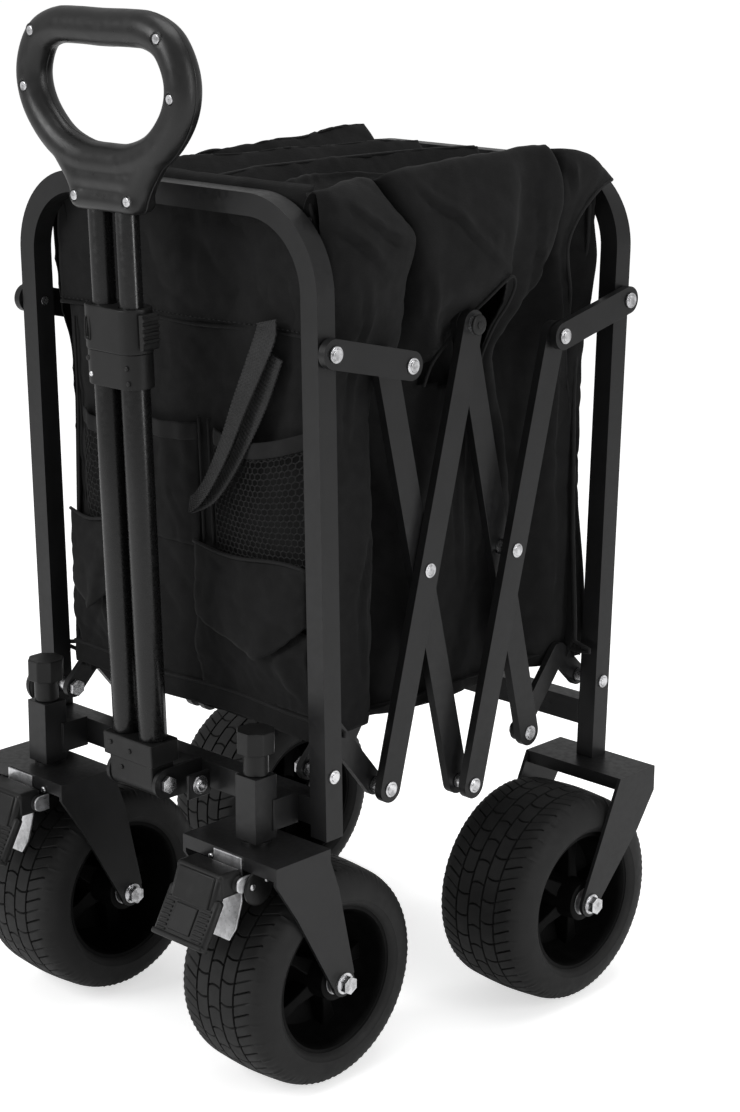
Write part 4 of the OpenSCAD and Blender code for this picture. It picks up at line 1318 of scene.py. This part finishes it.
def make_pedal(side, label):
    """Two-part pedal: a domed upper pad, and a ribbed tongue below a groove."""
    a, b = sorted((side * 104, side * 162))
    body = [block("hub", (a + 1, -288, 199), (b - 1, -263, 221), 4, 4)]
    body.append(tube("barrel", [(a, -267.5, 209), (b, -267.5, 209)], 7.5, 20))
    upper = block("pad", (a + 2, 0, -9), (b - 2, 36, 3), 4.0, 4)
    body.append(laid(upper, *PAD))
    crown = block("crown", (a + 7, 3, 2), (b - 7, 31, 4.6), 2.2, 4)
    body.append(laid(crown, *PAD))
    lower = block("tongue", (a - 2, -4, -6), (b + 2, 40, 2.2), 3.2, 4)
    body.append(laid(lower, *TONGUE))
    rim = block("rim", (a - 2, 36, -6), (b + 2, 41, 4), 1.8, 3)
    body.append(laid(rim, *TONGUE))
    panel = block("panel", ((a + b) / 2 - 14, 9, 2), ((a + b) / 2 + 12, 33, 3.6), 0.8, 2)
    body.append(laid(panel, *TONGUE))
    for k in range(8):
        down = 6 + 3.9 * k
        for x0, x1 in ((a + 2, (a + b) / 2 - 17), ((a + b) / 2 + 15, b - 2)) if 1 <= k else ((a + 2, b - 2),):
            rib = block("rib", (x0, down, 2), (x1, down + 1.9, 3.5), 0.6, 2)
            body.append(laid(rib, *TONGUE))
    pedal = joined(f"brake_pedal_{label}_formed", body)
    finish_piece(pedal, nodes[f"brake_pedal_{label}"]["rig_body"], plastic, f"brake_pedal_{label}")
    fork = nodes[f"brake_plate_{label}"]["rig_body"]
    cheek = disc(f"brake_cheek_{label}", (side * 166.5, -251, 203), (side, 0, 0), 16, 3.2, 0.2, 40)
    finish_piece(cheek, fork, plastic)
    for k, (y, z) in enumerate(((-260, 206), (-243, 209))):
        rivet = disc(f"brake_rivet_{label}_{k}", (side * 169.5, y, z), (side, 0, 0), 2.9, 1.8, 0.45, 24)
        finish_piece(rivet, fork, zinc)
    stud = disc(f"lip_rivet_{label}", (side * 112 + 6, -258.2, 219), (0, -1, 0), 2.8, 2.2, 0.45, 24)
    finish_piece(stud, fork, zinc)


for side, label in ((LEFT, "left"), (RIGHT, "right")):
    make_pedal(side, label)
    cap = disc(f"centre_cap_{label}", (side * 181.6, 0, CENTRE_TOP_Z), (side, 0, 0), 9.0, 2.4, 0.3, 36)
    finish_piece(cap, nodes["cross_pins_front"]["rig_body"], plastic)
    place = (side * 184.0, 0, CENTRE_TOP_Z)
    socket = disc(f"centre_cap_socket_{label}", place, (side, 0, 0), 3.6, 0.9, 0.5, 6)
    finish_piece(socket, nodes["cross_pins_front"]["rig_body"], plastic)


def grip_fasteners():
    """Bright screw heads in the recesses of the grip's front shell, each with a darker steel cross on it that
    paints the shade of a cross slot.
    """
    shell = next(o for o in bpy.data.objects if o.name.startswith("grip_front") and o.name != "grip_front")
    tree = tree_of(shell)
    for x, z in ((78, 897), (91, 851), (33, 765)):
        for side in (LEFT, RIGHT):
            place = first_hit(tree, side * x, z)
            if place is None:
                continue
            y = place.y / MM - MID
            head = disc(f"grip_screw_{side * x}", (side * x, y + 0.6, z), (0, -1, 0.04), 4.3, 2.2, 0.35, 30)
            finish_piece(head, nodes["grip_screws"]["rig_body"], zinc)
            circle = [(side * x + 5.4 * math.cos(t), y - 0.1, z + 5.4 * math.sin(t))
                      for t in np.linspace(0, 2 * math.pi, 25)[:-1]]
            ring = tube(f"grip_screw_ring_{side * x}", circle, 0.9, 8, closed=True)
            finish_piece(ring, nodes["grip_screws"]["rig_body"], grip_plastic)
            # a darker steel cross laid on the head: painted shade of the cross slot
            slot = joined(f"grip_screw_slot_{side * x}", [
                block("slot", (side * x - wide, y - 1.9, z - high),
                      (side * x + wide, y - 1.2, z + high), 0.15, 1)
                for wide, high in ((2.4, 0.45), (0.45, 2.4))])
            finish_piece(slot, nodes["grip_screws"]["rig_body"], steel)


grip_fasteners()


def tube_wall(name, start, end, outer, inner, sides=56):
    """A tube with rounded lips between two points, from its outer and inner radius."""
    a, b = np.array(start, float), np.array(end, float)
    way = (b - a) / np.linalg.norm(b - a)
    u = np.array((1.0, 0, 0))
    v = np.cross(way, u)
    points = []
    for at, along, r in ((a, 0, inner), (a, 0, outer - 0.7), (a, 0.2, outer - 0.2), (a, 0.8, outer),
                         (b, -0.8, outer), (b, -0.2, outer - 0.2), (b, 0, outer - 0.7), (b, 0, inner)):
        for k in range(sides):
            t = 2 * math.pi * k / sides
            points.append(at + way * along + (u * math.cos(t) + v * math.sin(t)) * r)
    return mesh_from(name, points, grid_faces(8, sides, True, True))


def handle_tubes():
    """The telescoping tubes, as long as their CAD nodes."""
    for node, bore, material in (("outer_tubes", 10.5, dark_paint), ("inner_tubes", None, inner_paint)):
        mesh = nodes[node].data
        world = nodes[node].matrix_world
        c, s = math.cos(HANDLE_LEAN), math.sin(HANDLE_LEAN)
        along, across = [], []
        for vertex in mesh.vertices:
            co = world @ vertex.co
            y, z = co.y / MM - MID - PIVOT[1], co.z / MM - PIVOT[2]
            along.append(z * c - y * s)
            across.append(co.x / MM)
        low, high, wide = min(along), max(along), max(across)
        middle = 17
        radius = wide - middle
        inner = bore or radius - 1.2
        pair = [tube_wall("wall", H(side * middle, 0, low), H(side * middle, 0, high), radius, inner)
                for side in (LEFT, RIGHT)]
        finish_piece(joined(f"{node}_formed", pair), nodes[node]["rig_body"], material, node)


def collar_details():
    """Slot and frame of the upper collar, with the slot a near-black block of painted shade, and rivets of
    the lower one and of the handle's base.
    """
    for node, studs in (("upper_collar", ()), ("lower_collar", ((-20, 616, zinc), (-25, 629, plastic),
                                                                 (24, 626, plastic), (25, 613, plastic))),
                        ("handle_base", ((-22, 284, plastic), (3, 281, plastic), (-12, 262, plastic)))):
        tree = tree_of(bpy.data.objects[f"{node}_formed"])
        body = nodes[node]["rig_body"]
        for k, (x, z, material) in enumerate(studs):
            place = first_hit(tree, x, z)
            if place is None:
                continue
            stud = disc(f"{node}_stud_{k}", (x, place.y / MM - MID + 0.6, z), (0, -1, 0), 2.3, 2.0, 0.4, 20)
            finish_piece(stud, body, material)
        if node != "upper_collar":
            continue
        place = first_hit(tree, -21, 655)
        if place is not None:
            y = place.y / MM - MID
            slot = [(-21 + 2.6 * a, y - 0.3, 655 + 8.5 * b) for a, b in ((-1, -1), (1, -1), (1, 1), (-1, 1))]
            ring = tube("collar_slot_lip", resampled(slot + slot[:1], 40)[:-1], 0.8, 6, closed=True)
            finish_piece(ring, body, plastic)
            # near-black block in place of the slot's depth: painted shade
            slot_shade = block("collar_slot", (-22.6, y - 0.25, 648), (-19.4, y + 0.6, 662), 0.2, 1)
            finish_piece(slot_shade, body, rim_plastic)


handle_tubes()
collar_details()


def hardware():
    """Second bolt of the handle bracket, on its tab, and the round cap outside the far front leg."""
    tab = block("bracket_tab", (46, -222, 240), (50, -196, 263), 1.6, 3)
    finish_piece(tab, "front_frame", paint)
    bolt = disc("bracket_tab_bolt", (50, -209, 252), (1, 0, 0), 6.4, 4.5, 0.3, 6)
    washer = disc("bracket_tab_washer", (50, -209, 252), (1, 0, 0), 8.4, 1.4, 0.1, 36)
    for piece in (bolt, washer):
        finish_piece(piece, "front_frame", zinc)
    cap = disc("leg_cap", (-187, -188, 284), (-1, 0, 0), 17, 13, 0.32, 44)
    finish_piece(cap, "front_frame", plastic)
    rim = tube("leg_cap_rim", [(-191, -188 + 17 * math.cos(t), 284 + 17 * math.sin(t))
                               for t in np.linspace(0, 2 * math.pi, 41)[:-1]], 1.2, 8, closed=True)
    finish_piece(rim, "front_frame", plastic)


hardware()
